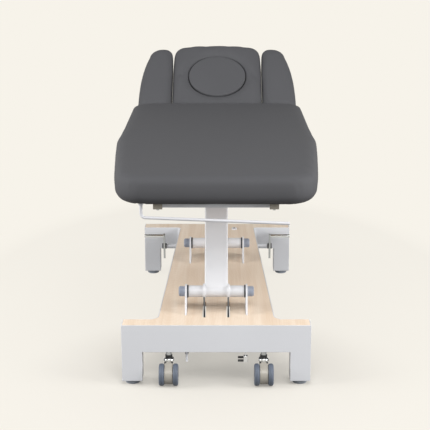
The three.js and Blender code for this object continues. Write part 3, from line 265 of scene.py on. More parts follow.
def grained_vinyl(colours):
    """PVC upholstery vinyl: embossed with rounded grain cells of 1.3 mm, which break its low gloss up."""
    material, tree, shader = new_material("Upholstery vinyl, grained PVC", colours.vinyl, 0.7, IOR=1.5)
    shader.inputs["Specular IOR Level"].default_value = 0.025
    place = spread(tree, shader, colours.vinyl_dark, colours.vinyl, 260, roughness=(0.66, 0.74))
    wander = add_node(tree, "ShaderNodeTexNoise", {"Vector": place.outputs["Object"], "Scale": 1000 / 4.0})
    warped = add_node(tree, "ShaderNodeVectorMath", {0: wander.outputs["Color"], "Scale": 0.0012}, operation="SCALE")
    summed = add_node(tree, "ShaderNodeVectorMath", {0: place.outputs["Object"], 1: warped.outputs["Vector"]})
    cells = add_node(tree, "ShaderNodeTexVoronoi", {"Vector": summed.outputs["Vector"], "Scale": 1000 / 1.3},
                     feature="SMOOTH_F1")
    fine = add_node(tree, "ShaderNodeTexNoise", {"Vector": place.outputs["Object"], "Scale": 1000 / 0.5})
    height = add_node(tree, "ShaderNodeMath", {0: cells.outputs["Distance"], 1: fine.outputs["Fac"]}, operation="ADD")
    relief(tree, shader, height.outputs["Value"], 0.12, 0.35)
    return material


def maple_laminate(colours):
    """Maple-print laminate: long pale figure along the couch, pores a few millimetres long, a satin seal."""
    material, tree, shader = new_material("Maple laminate", colours.maple, 0.42, IOR=1.5)
    place = add_node(tree, "ShaderNodeTexCoord")
    stretch = add_node(tree, "ShaderNodeMapping", {"Vector": place.outputs["Object"], "Scale": (1, 0.045, 1)})
    figure = add_node(tree, "ShaderNodeTexNoise", {"Vector": stretch.outputs["Vector"], "Scale": 1000 / 28,
                                                   "Detail": 5.0, "Roughness": 0.6, "Distortion": 0.4})
    heart = add_node(tree, "ShaderNodeMapping", {"Vector": place.outputs["Object"], "Location": (0.155, 0.166, 0),
                                                 "Scale": (1, 0.27, 1)})
    rings = add_node(tree, "ShaderNodeTexWave", {"Vector": heart.outputs["Vector"], "Scale": 40.0, "Distortion": 5.5,
                                                 "Detail": 2.0, "Detail Scale": 0.9},
                     wave_type="RINGS", rings_direction="Z")
    away = add_node(tree, "ShaderNodeVectorMath", {0: heart.outputs["Vector"]}, operation="LENGTH")
    weight = add_node(tree, "ShaderNodeMapRange", {"Value": away.outputs["Value"], "From Min": 0.02, "From Max": 0.11,
                                                   "To Min": 0.5, "To Max": 0.05})
    blended = add_node(tree, "ShaderNodeMix", {0: weight.outputs["Result"], 2: figure.outputs["Fac"],
                                               3: rings.outputs["Fac"]}, data_type="FLOAT")
    tone = add_node(tree, "ShaderNodeValToRGB", {"Fac": blended.outputs[0]})
    tone.color_ramp.elements[0].position = 0.25
    tone.color_ramp.elements[0].color = linear(colours.maple_dark)
    tone.color_ramp.elements[1].position = 0.66
    tone.color_ramp.elements[1].color = linear(colours.maple)
    pores = add_node(tree, "ShaderNodeMapping", {"Vector": place.outputs["Object"], "Scale": (1, 0.08, 1)})
    pore = add_node(tree, "ShaderNodeTexNoise", {"Vector": pores.outputs["Vector"], "Scale": 1000 / 3, "Detail": 2.0})
    dark = add_node(tree, "ShaderNodeMapRange", {"Value": pore.outputs["Fac"], "From Min": 0.62, "From Max": 0.75,
                                                 "To Min": 0.0, "To Max": 0.35})
    mix = add_node(tree, "ShaderNodeMix", {0: dark.outputs["Result"], 6: tone.outputs["Color"],
                                           7: linear(colours.maple_dark)}, data_type="RGBA")
    tree.links.new(mix.outputs[2], shader.inputs["Base Color"])
    relief(tree, shader, pore.outputs["Fac"], 0.04, 0.4)
    return material


def birch_ply(name, colours, tilt):
    """Birch plywood: thin light and dark veneers on its edges, long soft grain on its faces; tilt is its lean."""
    material, tree, shader = new_material(name, colours.ply, 0.65)
    place = add_node(tree, "ShaderNodeTexCoord")
    level = add_node(tree, "ShaderNodeMapping", {"Vector": place.outputs["Object"], "Rotation": (-tilt, 0, 0)})
    split = add_node(tree, "ShaderNodeSeparateXYZ", {"Vector": level.outputs["Vector"]})
    veneer = add_node(tree, "ShaderNodeMath", {0: split.outputs["Z"], 1: 2.8 * MM}, operation="PINGPONG")
    height = add_node(tree, "ShaderNodeMapRange", {"Value": veneer.outputs[0], "From Max": 2.8 * MM})
    streaks = add_node(tree, "ShaderNodeMapping", {"Vector": level.outputs["Vector"], "Scale": (1, 0.05, 0)})
    grain = add_node(tree, "ShaderNodeTexNoise", {"Vector": streaks.outputs["Vector"], "Scale": 1000 / 16,
                                                  "Detail": 5.0, "Roughness": 0.6})
    upright = (0, -math.sin(tilt), math.cos(tilt))
    normal = add_node(tree, "ShaderNodeVectorMath", {0: place.outputs["Normal"], 1: upright}, operation="DOT_PRODUCT")
    flat = add_node(tree, "ShaderNodeMath", {0: normal.outputs["Value"]}, operation="ABSOLUTE")
    tone = add_node(tree, "ShaderNodeMix", {0: flat.outputs[0], 2: height.outputs["Result"], 3: grain.outputs["Fac"]},
                    data_type="FLOAT")
    mix = add_node(tree, "ShaderNodeMix", {0: tone.outputs[0], 6: linear(colours.ply), 7: linear("#a37d51")},
                   data_type="RGBA")
    tree.links.new(mix.outputs[2], shader.inputs["Base Color"])
    relief(tree, shader, grain.outputs["Fac"], 0.05, 0.3)
    return material


def moulded(name, low, high, roughness, grain_mm=0.8, depth_mm=0.03):
    """Injection-moulded plastic or rubber: even colour with faint flow patches and a fine spark-eroded grain."""
    material, tree, shader = new_material(name, high, roughness, IOR=1.5)
    place = spread(tree, shader, low, high, 60, roughness=(roughness - 0.04, roughness + 0.05))
    grain = add_node(tree, "ShaderNodeTexNoise", {"Vector": place.outputs["Object"], "Scale": 1000 / grain_mm,
                                                  "Detail": 2.0})
    relief(tree, shader, grain.outputs["Fac"], depth_mm, 0.4)
    return material


def bright_metal(name, low, high, roughness):
    """Plated steel: a mirror film over polished steel, with faint cloudy wipe marks in its gloss."""
    material, tree, shader = new_material(name, high, roughness, 1.0)
    place = spread(tree, shader, low, high, 40, roughness=(roughness, roughness + 0.08))
    marks = add_node(tree, "ShaderNodeTexNoise", {"Vector": place.outputs["Object"], "Scale": 1000 / 1.5,
                                                  "Detail": 2.0})
    relief(tree, shader, marks.outputs["Fac"], 0.01, 0.2)
    return material


MATERIALS = {}


def finishes(context):
    """All finishes, made once from the colours in the panel."""
    if MATERIALS:
        return MATERIALS
    colours = context.scene.couch_colours
    MATERIALS.update({
        "steel": powder_coat("Powder-coated steel, light grey", "#d3d4d7", colours.steel, 0.45),
        "white": powder_coat("Powder-coated steel, white", "#d0d0d3", colours.rod_white, 0.4),
        "vinyl": grained_vinyl(colours),
        "maple": maple_laminate(colours),
        "ply": birch_ply("Birch plywood", colours, 0),
        "head_ply": birch_ply("Birch plywood, head section", colours, head_matrix().to_euler().x),
        "cap": moulded("Blue-grey polypropylene", "#717a8a", colours.cap, 0.45),
        "tyre": moulded("Blue-grey thermoplastic rubber tread", "#535b68", colours.tyre, 0.6, 1.2, 0.05),
        "rubber": moulded("Slate moulded rubber", "#888e97", colours.rubber, 0.72, 1.0, 0.06),
        "cream": moulded("Cream nylon", "#9f9a90", colours.cream, 0.4),
        "dark": moulded("Dark grey nylon washer", "#3c3f45", "#4a4e55", 0.5),
        "black": moulded("Black ABS", "#17181a", colours.black, 0.42),
        # Slate paint on the front levers is painted shade: it stands in for the shade below the tube and in the wood's
        # slots.
        "lever_painted_shade": powder_coat("Lever paint, slate, painted shade", "#63676a", "#6e7275", 0.5),
        # The olive beige-grey of the rail end plugs is painted shade, taken from the shaded strip under the cushion's
        # front edge.
        "plug": moulded("End plug, beige-grey painted shade", "#7c776d", "#857f74", 0.5),
        "chrome": bright_metal("Chrome-plated steel", "#c9cbcd", "#dfe1e3", 0.1),
        "zinc": bright_metal("Zinc-plated steel", "#a7aaac", "#bfc2c3", 0.3),
    })
    return MATERIALS


# Cushions, in millimetres: the long one from the middle of the base, those of the head section from its hinge

MAIN_NEAR, MAIN_FAR, MAIN_HALF = -748, 782, 374
TAPER_START, TAPER, TAPER_CURVE = -40, 52, 1.1
FOOT_START, FOOT_TAPER = -480, 8
FAR_RUN, FAR_TAPER = 260, 5
HEAD_HALF, ARM_INSIDE, ARM_OUTSIDE = 200.8, 201.5, 352
PARTING_START, PARTING_RUN, PARTING = 250, 170, 7
ARM_TAPER_RUN, ARM_TAPER = 406, 58
FACE_HOLE_Y, FACE_HOLE_RADIUS = 215, 129.8
ROUND_STEPS = 7

# Tacking of the cover, from the board's edge: where it starts and how long it runs, and where the bare wood starts
TACK_MARGIN, TACK_RUN, TACK_SINK = 7, 9, 1.2
BARE_INSET, BARE_LIFT = 26, 3.5
UNDERSIDE_SHARE = 0.3
HEAD_COVER = {"bottom": 17.4, "thickness": 71.4, "board": 33, "voxel": 7, "tack": 19.1}


def main_half(y):
    """Half width of the long cushion; it narrows towards the foot end, and a little towards the head."""
    share = min(max((TAPER_START - y) / (TAPER_START - MAIN_NEAR), 0), 1)
    foot = min(max((FOOT_START - y) / (FOOT_START - MAIN_NEAR), 0), 1)
    far = min(max((y - TAPER_START) / FAR_RUN, 0), 1)
    return MAIN_HALF - TAPER * share ** TAPER_CURVE - FOOT_TAPER * foot ** 2 - FAR_TAPER * far


def far_narrowing(y):
    """How far the cushions of the head section draw apart towards their far end."""
    return PARTING * min(max((y - PARTING_START) / PARTING_RUN, 0), 1) ** 2


def head_half(y):
    """Half width of the head cushion."""
    return HEAD_HALF - far_narrowing(y)


def arm_inside(y):
    """Distance of an arm pad's inner side from the couch's middle."""
    return ARM_INSIDE + far_narrowing(y)


def arm_outside(y):
    """Distance of an arm pad's outer side from the couch's middle; it draws in towards the far end."""
    return ARM_OUTSIDE - ARM_TAPER * max(y / ARM_TAPER_RUN, 0) ** 3


PLANS = {
    "main": {"near": MAIN_NEAR, "far": MAIN_FAR, "left": lambda y: -main_half(y), "right": main_half,
             "corners": (100, 100, 82, 82), "arch": 0},
    "head": {"near": 10, "far": 431, "left": lambda y: -head_half(y), "right": head_half,
             "corners": (20, 20, 46, 46), "arch": 15},
    "arm_right": {"near": 10, "far": 409, "left": arm_inside, "right": arm_outside,
                  "corners": (20, 20, 62, 38), "arch": 0},
    "arm_left": {"near": 10, "far": 409, "left": lambda y: -arm_outside(y), "right": lambda y: -arm_inside(y),
                 "corners": (20, 20, 38, 62), "arch": 0},
}


def outline(plan, inset=0.0, corner_steps=8, side_steps=24, end_steps=14):
    """Outline of a cushion in millimetres, moved inwards by an inset, anticlockwise from its near right corner."""
    near, far = plan["near"] + inset, plan["far"] - inset
    left = lambda y: plan["left"](y) + inset
    right = lambda y: plan["right"](y) - inset
    near_left, near_right, far_right, far_left = (max(r - inset, 2.0) for r in plan["corners"])
    points = []

    def end_y(x, y, bulge):
        middle, reach = (left(y) + right(y)) / 2, (right(y) - left(y)) / 2
        return y - bulge * ((x - middle) / reach) ** 2

    def corner(side, y, inward, radius, start):
        sign = 1 if side(y) > (left(y) + right(y)) / 2 else -1
        hub = side(y + inward * radius) - sign * radius
        for i in range(corner_steps + 1):
            angle = start + math.pi / 2 * i / corner_steps
            x = hub + radius * math.cos(angle)
            level = end_y(x, y, plan["arch"]) - radius if inward < 0 else y + radius
            points.append((x, level + radius * math.sin(angle)))

    def run(side, start, stop):
        for i in range(1, side_steps):
            y = start + (stop - start) * i / side_steps
            points.append((side(y), y))

    def end(y, start, stop, bulge):
        for i in range(1, end_steps):
            x = start + (stop - start) * i / end_steps
            points.append((x, end_y(x, y, bulge)))

    corner(right, near, 1, near_right, -math.pi / 2)
    run(right, near + near_right, far - far_right - plan["arch"])
    corner(right, far, -1, far_right, 0)
    end(far, right(far - far_right) - far_right, left(far - far_left) + far_left, plan["arch"])
    corner(left, far, -1, far_left, math.pi / 2)
    run(left, far - far_left - plan["arch"], near + near_left)
    corner(left, near, 1, near_left, math.pi)
    end(near, left(near + near_left) + near_left, right(near + near_right) - near_right, 0)
    return points


def cushion_rings(plan, bottom, thickness, sizes):
    """Rings of a cushion's side, from its underside over the round side to the rim of its top."""
    rings = []
    shoulder = bottom + thickness - sizes.crown
    top_edge, low_edge, draw_in = ((sizes.top_edge, sizes.low_edge, sizes.draw_in) if plan is PLANS["main"]
                                   else (sizes.head_top_edge, sizes.head_low_edge, sizes.head_draw_in))
    fit = min(1, (thickness - sizes.crown) / (top_edge + low_edge))
    angles = [math.pi / 2 * i / ROUND_STEPS for i in range(ROUND_STEPS + 1)]
    for angle in angles:
        rings.append((outline(plan, draw_in * (1 - math.sin(angle))),
                      bottom + fit * low_edge * (1 - math.cos(angle))))
    for angle in angles:
        rings.append((outline(plan, top_edge * (1 - math.cos(angle))),
                      shoulder - fit * top_edge * (1 - math.sin(angle))))
    return rings


def loft(rings, closed=False, caps=(None, None)):
    """Quads between rings of equal count, with a point below and above if given; in millimetres."""
    bm = bmesh.new()
    rows = [[bm.verts.new(Vector((x, y, z)) * MM) for x, y, z in ring] for ring in rings]
    count = len(rows[0])
    pairs = list(zip(rows, rows[1:])) + ([(rows[-1], rows[0])] if closed else [])
    for lower, upper in pairs:
        for i in range(count):
            j = (i + 1) % count
            bm.faces.new((lower[i], lower[j], upper[j], upper[i]))
    for row, cap in zip((rows[0], rows[-1]), caps):
        if cap is not None:
            tip = bm.verts.new(Vector(cap) * MM)
            for i in range(count):
                bm.faces.new((row[i], row[(i + 1) % count], tip))
    return bm


def dome(share, crown):
    """Height of the crown at a share of the way from the rim to the middle."""
    return crown * (1 - (1 - share) ** 2)


def plain_cushion(name, plan, bottom, thickness, sizes, material):
    """A cushion with no hole: its top rises in a low crown to the middle."""
    middle_y = (plan["near"] + plan["far"]) / 2
    middle = ((plan["left"](middle_y) + plan["right"](middle_y)) / 2, middle_y)
    rings = [[(x, y, z) for x, y in ring] for ring, z in cushion_rings(plan, bottom, thickness, sizes)]
    rim = rings[-1]
    shoulder = rim[0][2]
    for share in (0.06, 0.14, 0.26, 0.42, 0.62, 0.82):
        rings.append([(x + (middle[0] - x) * share, y + (middle[1] - y) * share, shoulder + dome(share, sizes.crown))
                      for x, y, z in rim])
    bm = loft(rings, caps=((middle[0], middle[1], bottom), (middle[0], middle[1], shoulder + sizes.crown)))
    return make_object(name, bm, [material], 180)


def holed_cushion(name, plan, bottom, thickness, hole_y, hole_radius, sizes, material):
    """The head cushion: the top dips over a round edge into the face hole."""
    rings = [[(x, y, z) for x, y in ring] for ring, z in cushion_rings(plan, bottom, thickness, sizes)]
    rim = rings[-1]
    shoulder = rim[0][2]
    roll, fullness = 6, 0.8

    def circle(radius, z):
        return [(radius * (x / math.hypot(x, y - hole_y)),
                 hole_y + radius * ((y - hole_y) / math.hypot(x, y - hole_y)), z) for x, y, _ in rim]

    lip = circle(hole_radius + roll, shoulder)
    for share in (0.12, 0.3, 0.5, 0.7, 0.88):
        height = shoulder + sizes.crown * 4 * share * (1 - share) * fullness
        rings.append([(a[0] + (b[0] - a[0]) * share, a[1] + (b[1] - a[1]) * share, height)
                      for a, b in zip(rim, lip)])
    for i in range(5):
        angle = math.pi / 2 * i / 4
        rings.append(circle(hole_radius + roll * (1 - math.sin(angle)), shoulder - roll * (1 - math.cos(angle))))
    rings.append(circle(hole_radius, (bottom + shoulder) / 2))
    rings.append(circle(hole_radius, bottom))
    bm = loft(rings, closed=True)
    return make_object(name, bm, [material], 180)


def puff(obj, cap_mm, voxel_mm, pressure=4.0, frames=20):
    """Swells a cushion as cloth under pressure: each point moves straight out, up to a cap; then divides it once."""
    remesh = obj.modifiers.new("remesh", "REMESH")
    remesh.mode = "VOXEL"
    remesh.voxel_size = voxel_mm * MM
    remesh.use_smooth_shade = True
    applied(obj)
    start = [(vertex.co.copy(), vertex.normal.copy()) for vertex in obj.data.vertices]
    cloth = obj.modifiers.new("cloth", "CLOTH")
    cloth.settings.quality = 3
    cloth.settings.use_pressure = True
    cloth.settings.uniform_pressure_force = pressure
    cloth.settings.effector_weights.gravity = 0
    cloth.settings.tension_stiffness = 15
    cloth.settings.compression_stiffness = 15
    cloth.settings.bending_stiffness = 0.5
    cloth.point_cache.frame_start = 1
    cloth.point_cache.frame_end = frames
    scene = bpy.context.scene
    for step in range(1, frames + 1):
        scene.frame_set(step)
    graph = bpy.context.evaluated_depsgraph_get()
    moved = [vertex.co.copy() for vertex in obj.evaluated_get(graph).data.vertices]
    obj.modifiers.clear()
    for vertex, (before, normal), after in zip(obj.data.vertices, start, moved):
        vertex.co = before + normal * min(max((after - before).dot(normal), 0), cap_mm * MM)
    scene.frame_set(1)
    obj.data.update()
    relax = obj.modifiers.new("relax", "SMOOTH")
    relax.factor = 0.5
    relax.iterations = 7
    divide = obj.modifiers.new("divide", "SUBSURF")
    divide.levels = divide.render_levels = 1
    applied(obj)
    obj.data.materials.clear()
    obj.data.shade_smooth()
    return obj


def depth_inside(plan, x, y):
    """Distance in millimetres from a point to a cushion's outline, round corners included."""
    sides = (x - plan["left"](y), plan["right"](y) - x)
    ends = (y - plan["near"], plan["far"] - y)
    depth = min(*sides, *ends)
    for radius, side, end in zip(plan["corners"], (sides[0], sides[1], sides[1], sides[0]),
                                 (ends[0], ends[0], ends[1], ends[1])):
        if side < radius and end < radius:
            depth = min(depth, radius - math.hypot(radius - side, radius - end))
    return depth


def to_plan(obj, plan):
    """Moves the sides of a swollen cushion sideways onto its outline, slab by slab along its length."""
    corners = plan["corners"]
    start, stop = plan["near"] + max(corners[:2]), plan["far"] - max(corners[2:]) - plan["arch"]
    count = 24
    rows = [[] for _ in range(count + 1)]
    for vertex in obj.data.vertices:
        place = (vertex.co.y / MM - start) / (stop - start) * count
        if -0.5 < place < count + 0.5:
            y = vertex.co.y / MM
            rows[round(place)].append((plan["left"](y) - vertex.co.x / MM, plan["right"](y) - vertex.co.x / MM))
    reach = ([max(left for left, _ in row) for row in rows], [min(right for _, right in row) for row in rows])
    for vertex in obj.data.vertices:
        y = min(max(vertex.co.y / MM, start), stop)
        place = (y - start) / (stop - start) * count
        i = min(int(place), count - 1)
        left, right = (side[i] + (side[i + 1] - side[i]) * (place - i) for side in reach)
        share = (vertex.co.x / MM - plan["left"](y)) / (plan["right"](y) - plan["left"](y))
        vertex.co.x += (left + (right - left) * min(max(share, 0), 1)) * MM


def fitted(obj, plan, bottom, thickness, hole=None):
    """Stretches a swollen cushion to its exact outside sizes, and keeps its face hole open."""
    to_plan(obj, plan)
    ys = [y for _, y in outline(plan)]
    low = Vector((min(ys), bottom)) * MM
    high = Vector((max(ys), bottom + thickness)) * MM
    places = [vertex.co.yz for vertex in obj.data.vertices]
    first = [min(place[k] for place in places) for k in (0, 1)]
    last = [max(place[k] for place in places) for k in (0, 1)]
    off_middle = 0.01
    for vertex in obj.data.vertices:
        for k in (0, 1):
            climb = (vertex.co[k + 1] - first[k]) * (high[k] - low[k]) / (last[k] - first[k])
            vertex.co[k + 1] = low[k] + climb
        if hole:
            away = Vector((vertex.co.x, vertex.co.y - hole[0] * MM))
            if off_middle < away.length < hole[1] * MM:
                away *= hole[1] * MM / away.length
                vertex.co.x, vertex.co.y = away.x, away.y + hole[0] * MM
    obj.data.update()


def tack_underside(obj, plan, bottom, thickness, board, tack):
    """Lays the cover flat under the board's edge, and lifts it off the board's middle, which stays bare wood."""
    for vertex in obj.data.vertices:
        x, y, z = vertex.co / MM
        depth = depth_inside(plan, x, y)
        if z < bottom + UNDERSIDE_SHARE * thickness and depth > board - TACK_MARGIN:
            level = tack + BARE_LIFT if depth > board + BARE_INSET else tack - TACK_SINK
            share = min((depth - board + TACK_MARGIN) / TACK_RUN, 1)
            vertex.co.z += (level * MM - vertex.co.z) * share * share * (3 - 2 * share)
    obj.data.update()


def upholstered(context, name, plan, bottom, thickness, board, voxel, tack, hole=None):
    """One cushion: a slightly thin foam shape that swells its cover, tacked flat below."""
    sizes = context.scene.couch_sizes
    vinyl = finishes(context)["vinyl"]
    swell = sizes.swell
    if hole:
        obj = holed_cushion(name, plan, bottom + swell, thickness - 2 * swell, *hole, sizes, vinyl)
    else:
        obj = plain_cushion(name, plan, bottom + swell, thickness - 2 * swell, sizes, vinyl)
    if swell:
        puff(obj, swell, voxel)
        obj.data.materials.append(vinyl)
        fitted(obj, plan, bottom, thickness, hole)
        tack_underside(obj, plan, bottom, thickness, board, tack)
    return obj


def placed_in_head(obj):
    """Moves a piece's mesh from the head section's own frame to its place."""
    obj.data.transform(head_matrix())
    obj.data.update()
    return obj


def main_cushion(context):
    """The long cushion: its top rim is drawn tight, and the rod's bent end presses into its roll from below."""
    obj = upholstered(context, "main_cushion_skin", PLANS["main"], bottom=637.0, thickness=100.0, board=34, voxel=12,
                      tack=651.35)
    top, rim, tightness = 737, 37, 1.6
    dent_half, dent_end, dent_level = 13, -660, 646.6
    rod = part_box("roll_rod")[0].x / MM + 5
    for vertex in obj.data.vertices:
        x, y, z = vertex.co / MM
        if top - rim < z < top:
            vertex.co.z = (top - rim * ((top - z) / rim) ** tightness) * MM
        elif abs(x - rod) < dent_half and y < dent_end and z < dent_level:
            vertex.co.z = dent_level * MM
    obj.data.transform(Matrix.Translation((0, BASE_Y, 0)))
    seat(obj, "top", ("main_cushion",))


def head_cushion(context):
    """The head cushion with its round face hole."""
    obj = upholstered(context, "head_cushion_skin", PLANS["head"], hole=(FACE_HOLE_Y, FACE_HOLE_RADIUS), **HEAD_COVER)
    seat(placed_in_head(obj), "head", ("head_cushion",))


def arm_pads(context):
    """Both arm pads beside the head cushion."""
    for hand in ("left", "right"):
        obj = upholstered(context, f"arm_pad_{hand}_skin", PLANS[f"arm_{hand}"], **HEAD_COVER)
        seat(placed_in_head(obj), f"arm_{hand}", (f"arm_pad_{hand}",))


def face_plug(context):
    """The round plug: a drum with a soft upper edge and a low crown."""
    bm = bmesh.new()
    radius, bottom, top, roll, crown = 128.2, 30.4, 84.4, 6, 1.6
    profile = [(0, bottom), (radius * 0.6, bottom), (radius - 4, bottom), (radius - 1, bottom + 3)]
    profile += [(radius, bottom + 10), (radius, (bottom + top) / 2)]
    for i in range(7):
        angle = math.pi / 2 * i / 6
        profile.append((radius - roll * (1 - math.cos(angle)), top - crown - roll * (1 - math.sin(angle))))
    profile += [(radius * 0.8, top - 0.6), (radius * 0.55, top + 0.6), (radius * 0.25, top + 1.4), (0, top + crown)]
    turned(bm, profile, (0, FACE_HOLE_Y * MM, 0), (0, 0, 1), 72)
    obj = make_object("face_plug_skin", bm, [finishes(context)["vinyl"]], 180)
    seat(placed_in_head(obj), "plug", ("face_plug",))


# Steel, wood and boards; lengths of the arms and levers in metres, their places in millimetres

PIVOT_Z, ARM_LEAN, ARM_LENGTH = 279, 33, 0.383
LEVER_X, LEVER_LEAN, LEVER_LENGTH = 41.5, 10, 0.125
FRONT_PIVOT_Y, REAR_PIVOT_Y = -493, 115


def base_frames(context):
    """Both end frames, the spine, the caster frame and the pivot plates: folded and welded steel."""
    steel = finishes(context)["steel"]
    edge = context.scene.couch_sizes.sheet_edge
    for node, body in (("front_frame", "base"), ("rear_frame", "base"), ("spine_tray", "base"),
                       ("caster_frame", "running_gear")):
        seat(cad_copy(f"{node}_coated", node, [steel], edge), body, (node,))
    for corner in CORNERS:
        node = f"pivot_plate_{corner}"
        seat(cad_copy(f"{node}_coated", node, [steel], 0.8), "base", (node,))


def wood_panel(context):
    """The maple panel on the base, with its cut edges just broken."""
    obj = cad_copy("wood_panel", "wood_inlay", [finishes(context)["maple"]], 0.7)
    seat(obj, "base", ("wood_inlay",))


def feet(context):
    """Round rubber feet with a domed sole edge and a groove under the steel."""
    for corner in CORNERS:
        low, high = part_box(f"foot_{corner}")
        middle = (low + high) / 2
        bm = bmesh.new()
        profile = [(0, 0), (21, 0), (23.6, 1.2), (24.8, 4), (25, 7.5), (25, 12.2), (24, 13.6), (21.5, 14.4),
                   (9, 14.4), (5, 14.5), (5, 32.5), (0, 32.5)]
        turned(bm, profile, (middle.x, middle.y, low.z), (0, 0, 1), 48)
        foot = make_object(f"foot_{corner}_rubber", bm, [finishes(context)["rubber"]])
        seat(foot, "base", (f"foot_{corner}",))


def pivot_fittings(context):
    """Bushes and end caps of the four lower pivots."""
    paint = finishes(context)
    for corner in CORNERS:
        side = -1 if "left" in corner else 1
        low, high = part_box(f"pivot_bush_{corner}")
        y, z = (low.y + high.y) / 2, (low.z + high.z) / 2
        start = (high.x if side < 0 else low.x)
        bm = bmesh.new()
        turned(bm, [(12.3, 0), (21.4, 0), (22, 0.6), (22, 4.4), (21.4, 5), (15.3, 5), (15.3, 11), (12.3, 11)],
               (start, y, z), (side, 0, 0), 48)
        seat(make_object(f"bush_{corner}", bm, [paint["dark"]]), "base", (f"pivot_bush_{corner}",))
        low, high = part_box(f"pivot_cap_{corner}")
        start = (high.x if side < 0 else low.x)
        bm = bmesh.new()
        turned(bm, [(0, 19), (12.3, 19), (12.3, 0), (17.4, 0), (18, 0.8), (18, 3.2), (17.2, 4), (16.7, 18.5),
                    (15.6, 20.8), (13.4, 22), (11, 22), (10.4, 21.3), (0, 21.3)], (start, y, z), (side, 0, 0), 48)
        seat(make_object(f"cap_{corner}", bm, [paint["cap"]]), "base", (f"pivot_cap_{corner}",))


def rounded_rectangle(width, depth, radius, steps=5):
    """Outline of a drawn rectangular tube, in metres about its middle."""
    points = []
    for quarter, (sx, sy) in enumerate(((1, 1), (-1, 1), (-1, -1), (1, -1))):
        for i in range(steps + 1):
            angle = math.pi / 2 * (quarter + i / steps)
            points.append((sx * (width / 2 - radius) + radius * math.cos(angle),
                           sy * (depth / 2 - radius) + radius * math.sin(angle)))
    return [(u * MM, v * MM) for u, v in points]


def lift_arm(context, name, node, body, pivot_y):
    """One lift arm: a drawn box tube between two round tubes, with the shafts that stand out of them."""
    steel, chrome = finishes(context)["steel"], finishes(context)["zinc"]
    bm = bmesh.new()
    lean = math.radians(ARM_LEAN)
    low = at(0, pivot_y, PIVOT_Z)
    up = low + Vector((0, math.sin(lean), math.cos(lean))) * ARM_LENGTH
    section = rounded_rectangle(80, 38, 6)
    across = Vector((0, math.cos(lean), -math.sin(lean)))
    ring_low, ring_high = ([bm.verts.new(centre + Vector((u, 0, 0)) + across * v) for u, v in section]
                           for centre in (low, up))
    count = len(section)
    for i in range(count):
        j = (i + 1) % count
        bm.faces.new((ring_low[i], ring_low[j], ring_high[j], ring_high[i]))
    for ring in (ring_low, ring_high):
        bm.faces.new(ring)
    bmesh.ops.recalc_face_normals(bm, faces=bm.faces)
    for centre, half in ((low, 95.4), (up, 100.7)):
        turned(bm, [(0, -half), (19, -half), (20, -half + 1), (20, half - 1), (19, half), (0, half)],
               centre, (1, 0, 0), 56)
        for side in (-1, 1):
            turned(bm, [(0, 0), (23.4, 0), (23.4, 0.4), (21.4, 2.2), (20.2, 4.2), (0, 4.2)],
                   centre + Vector((side * 40 * MM, 0, 0)), (side, 0, 0), 40)
    for centre, half in ((low, 125.7), (up, 110)):
        turned(bm, [(0, -half), (11.4, -half), (12, -half + 0.6), (12, half - 0.6), (11.4, half), (0, half)],
               centre, (1, 0, 0), 40, 1)
    if node == "front_arm":
        add_levers(bm, low)
    # The third finish paints the levers slate, as painted shade.
    obj = make_object(name, bm, [steel, chrome, finishes(context)["lever_painted_shade"]])
    seat(obj, body, (node,))


def link_outline(a, ra, b, rb, steps=16):
    """Outline of a flat link with a round end of its own radius at each pin."""
    along = math.atan2(b[1] - a[1], b[0] - a[0])
    opening = math.acos((ra - rb) / math.hypot(b[0] - a[0], b[1] - a[1]))
    points = []
    for (u, v), radius, start, stop in ((a, ra, along + opening, along - opening + 2 * math.pi),
                                        (b, rb, along - opening, along + opening)):
        for i in range(steps + 1):
            angle = start + (stop - start) * i / steps
            points.append((u + radius * math.cos(angle), v + radius * math.sin(angle)))
    return points


def add_levers(bm, pivot):
    """The two flat levers below the front arm and the pin between them. The levers are painted slate as painted shade,
    and a light strip on each front edge is a painted highlight.
    """
    lean = math.radians(LEVER_LEAN)
    tip = pivot + Vector((0, math.sin(lean), -math.cos(lean))) * LEVER_LENGTH
    shape = link_outline((pivot.y, pivot.z), 0.025, (tip.y, tip.z), 0.013)
    across = Vector((0, -math.cos(lean), -math.sin(lean)))
    for side in (-1, 1):
        prism(bm, shape, "x", (side * LEVER_X - 3) * MM, (side * LEVER_X + 3) * MM, 2)
        # A light steel strip along each lever's front edge is a painted highlight on the slate lever.
        upper, lower = (pivot + (tip - pivot) * share + across * reach
                        for share, reach in ((0.45, 0.0188), (0.8, 0.0152)))
        painted_highlight_strip = [(upper.y, upper.z), (lower.y, lower.z), (lower.y + 0.004, lower.z), (upper.y + 0.004, upper.z)]
        prism(bm, painted_highlight_strip, "x", (side * LEVER_X - 1.1) * MM, (side * LEVER_X + 1.1) * MM, 0)
        turned(bm, [(0, side * LEVER_X - 4), (25.6, side * LEVER_X - 4), (26.2, side * LEVER_X - 3.4),
                    (26.2, side * LEVER_X + 3.4), (25.6, side * LEVER_X + 4), (0, side * LEVER_X + 4)],
               pivot, (1, 0, 0), 48, 0)
    turned(bm, [(0, -47), (7.4, -47), (8, -46.4), (8, 46.4), (7.4, 47), (0, 47)], tip, (1, 0, 0), 32, 1)


def lift_arms(context):
    """Both lift arms on their lower pivots."""
    lift_arm(context, "front_lift_arm", "front_arm", "front_arm", FRONT_PIVOT_Y)
    lift_arm(context, "rear_lift_arm", "rear_arm", "rear_arm", REAR_PIVOT_Y)


def top_steel(context):
    """Top frame, head frame and the arm pads' brackets."""
    steel = finishes(context)["steel"]
    for node, body in (("top_frame", "top"), ("head_frame", "head"), ("arm_frame_left", "arm_left"),
                       ("arm_frame_right", "arm_right")):
        seat(cad_copy(f"{node}_coated", node, [steel], 1.0), body, (node,))


def boards(context):
    """Plywood boards under the cushions keep their CAD meshes and take the plywood finish."""
    for node in ("main_board", "head_board", "arm_board_left", "arm_board_right"):
        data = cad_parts[node].data
        data.materials.clear()
        data.materials.append(finishes(context)["ply" if node == "main_board" else "head_ply"])


# Castors and pedals

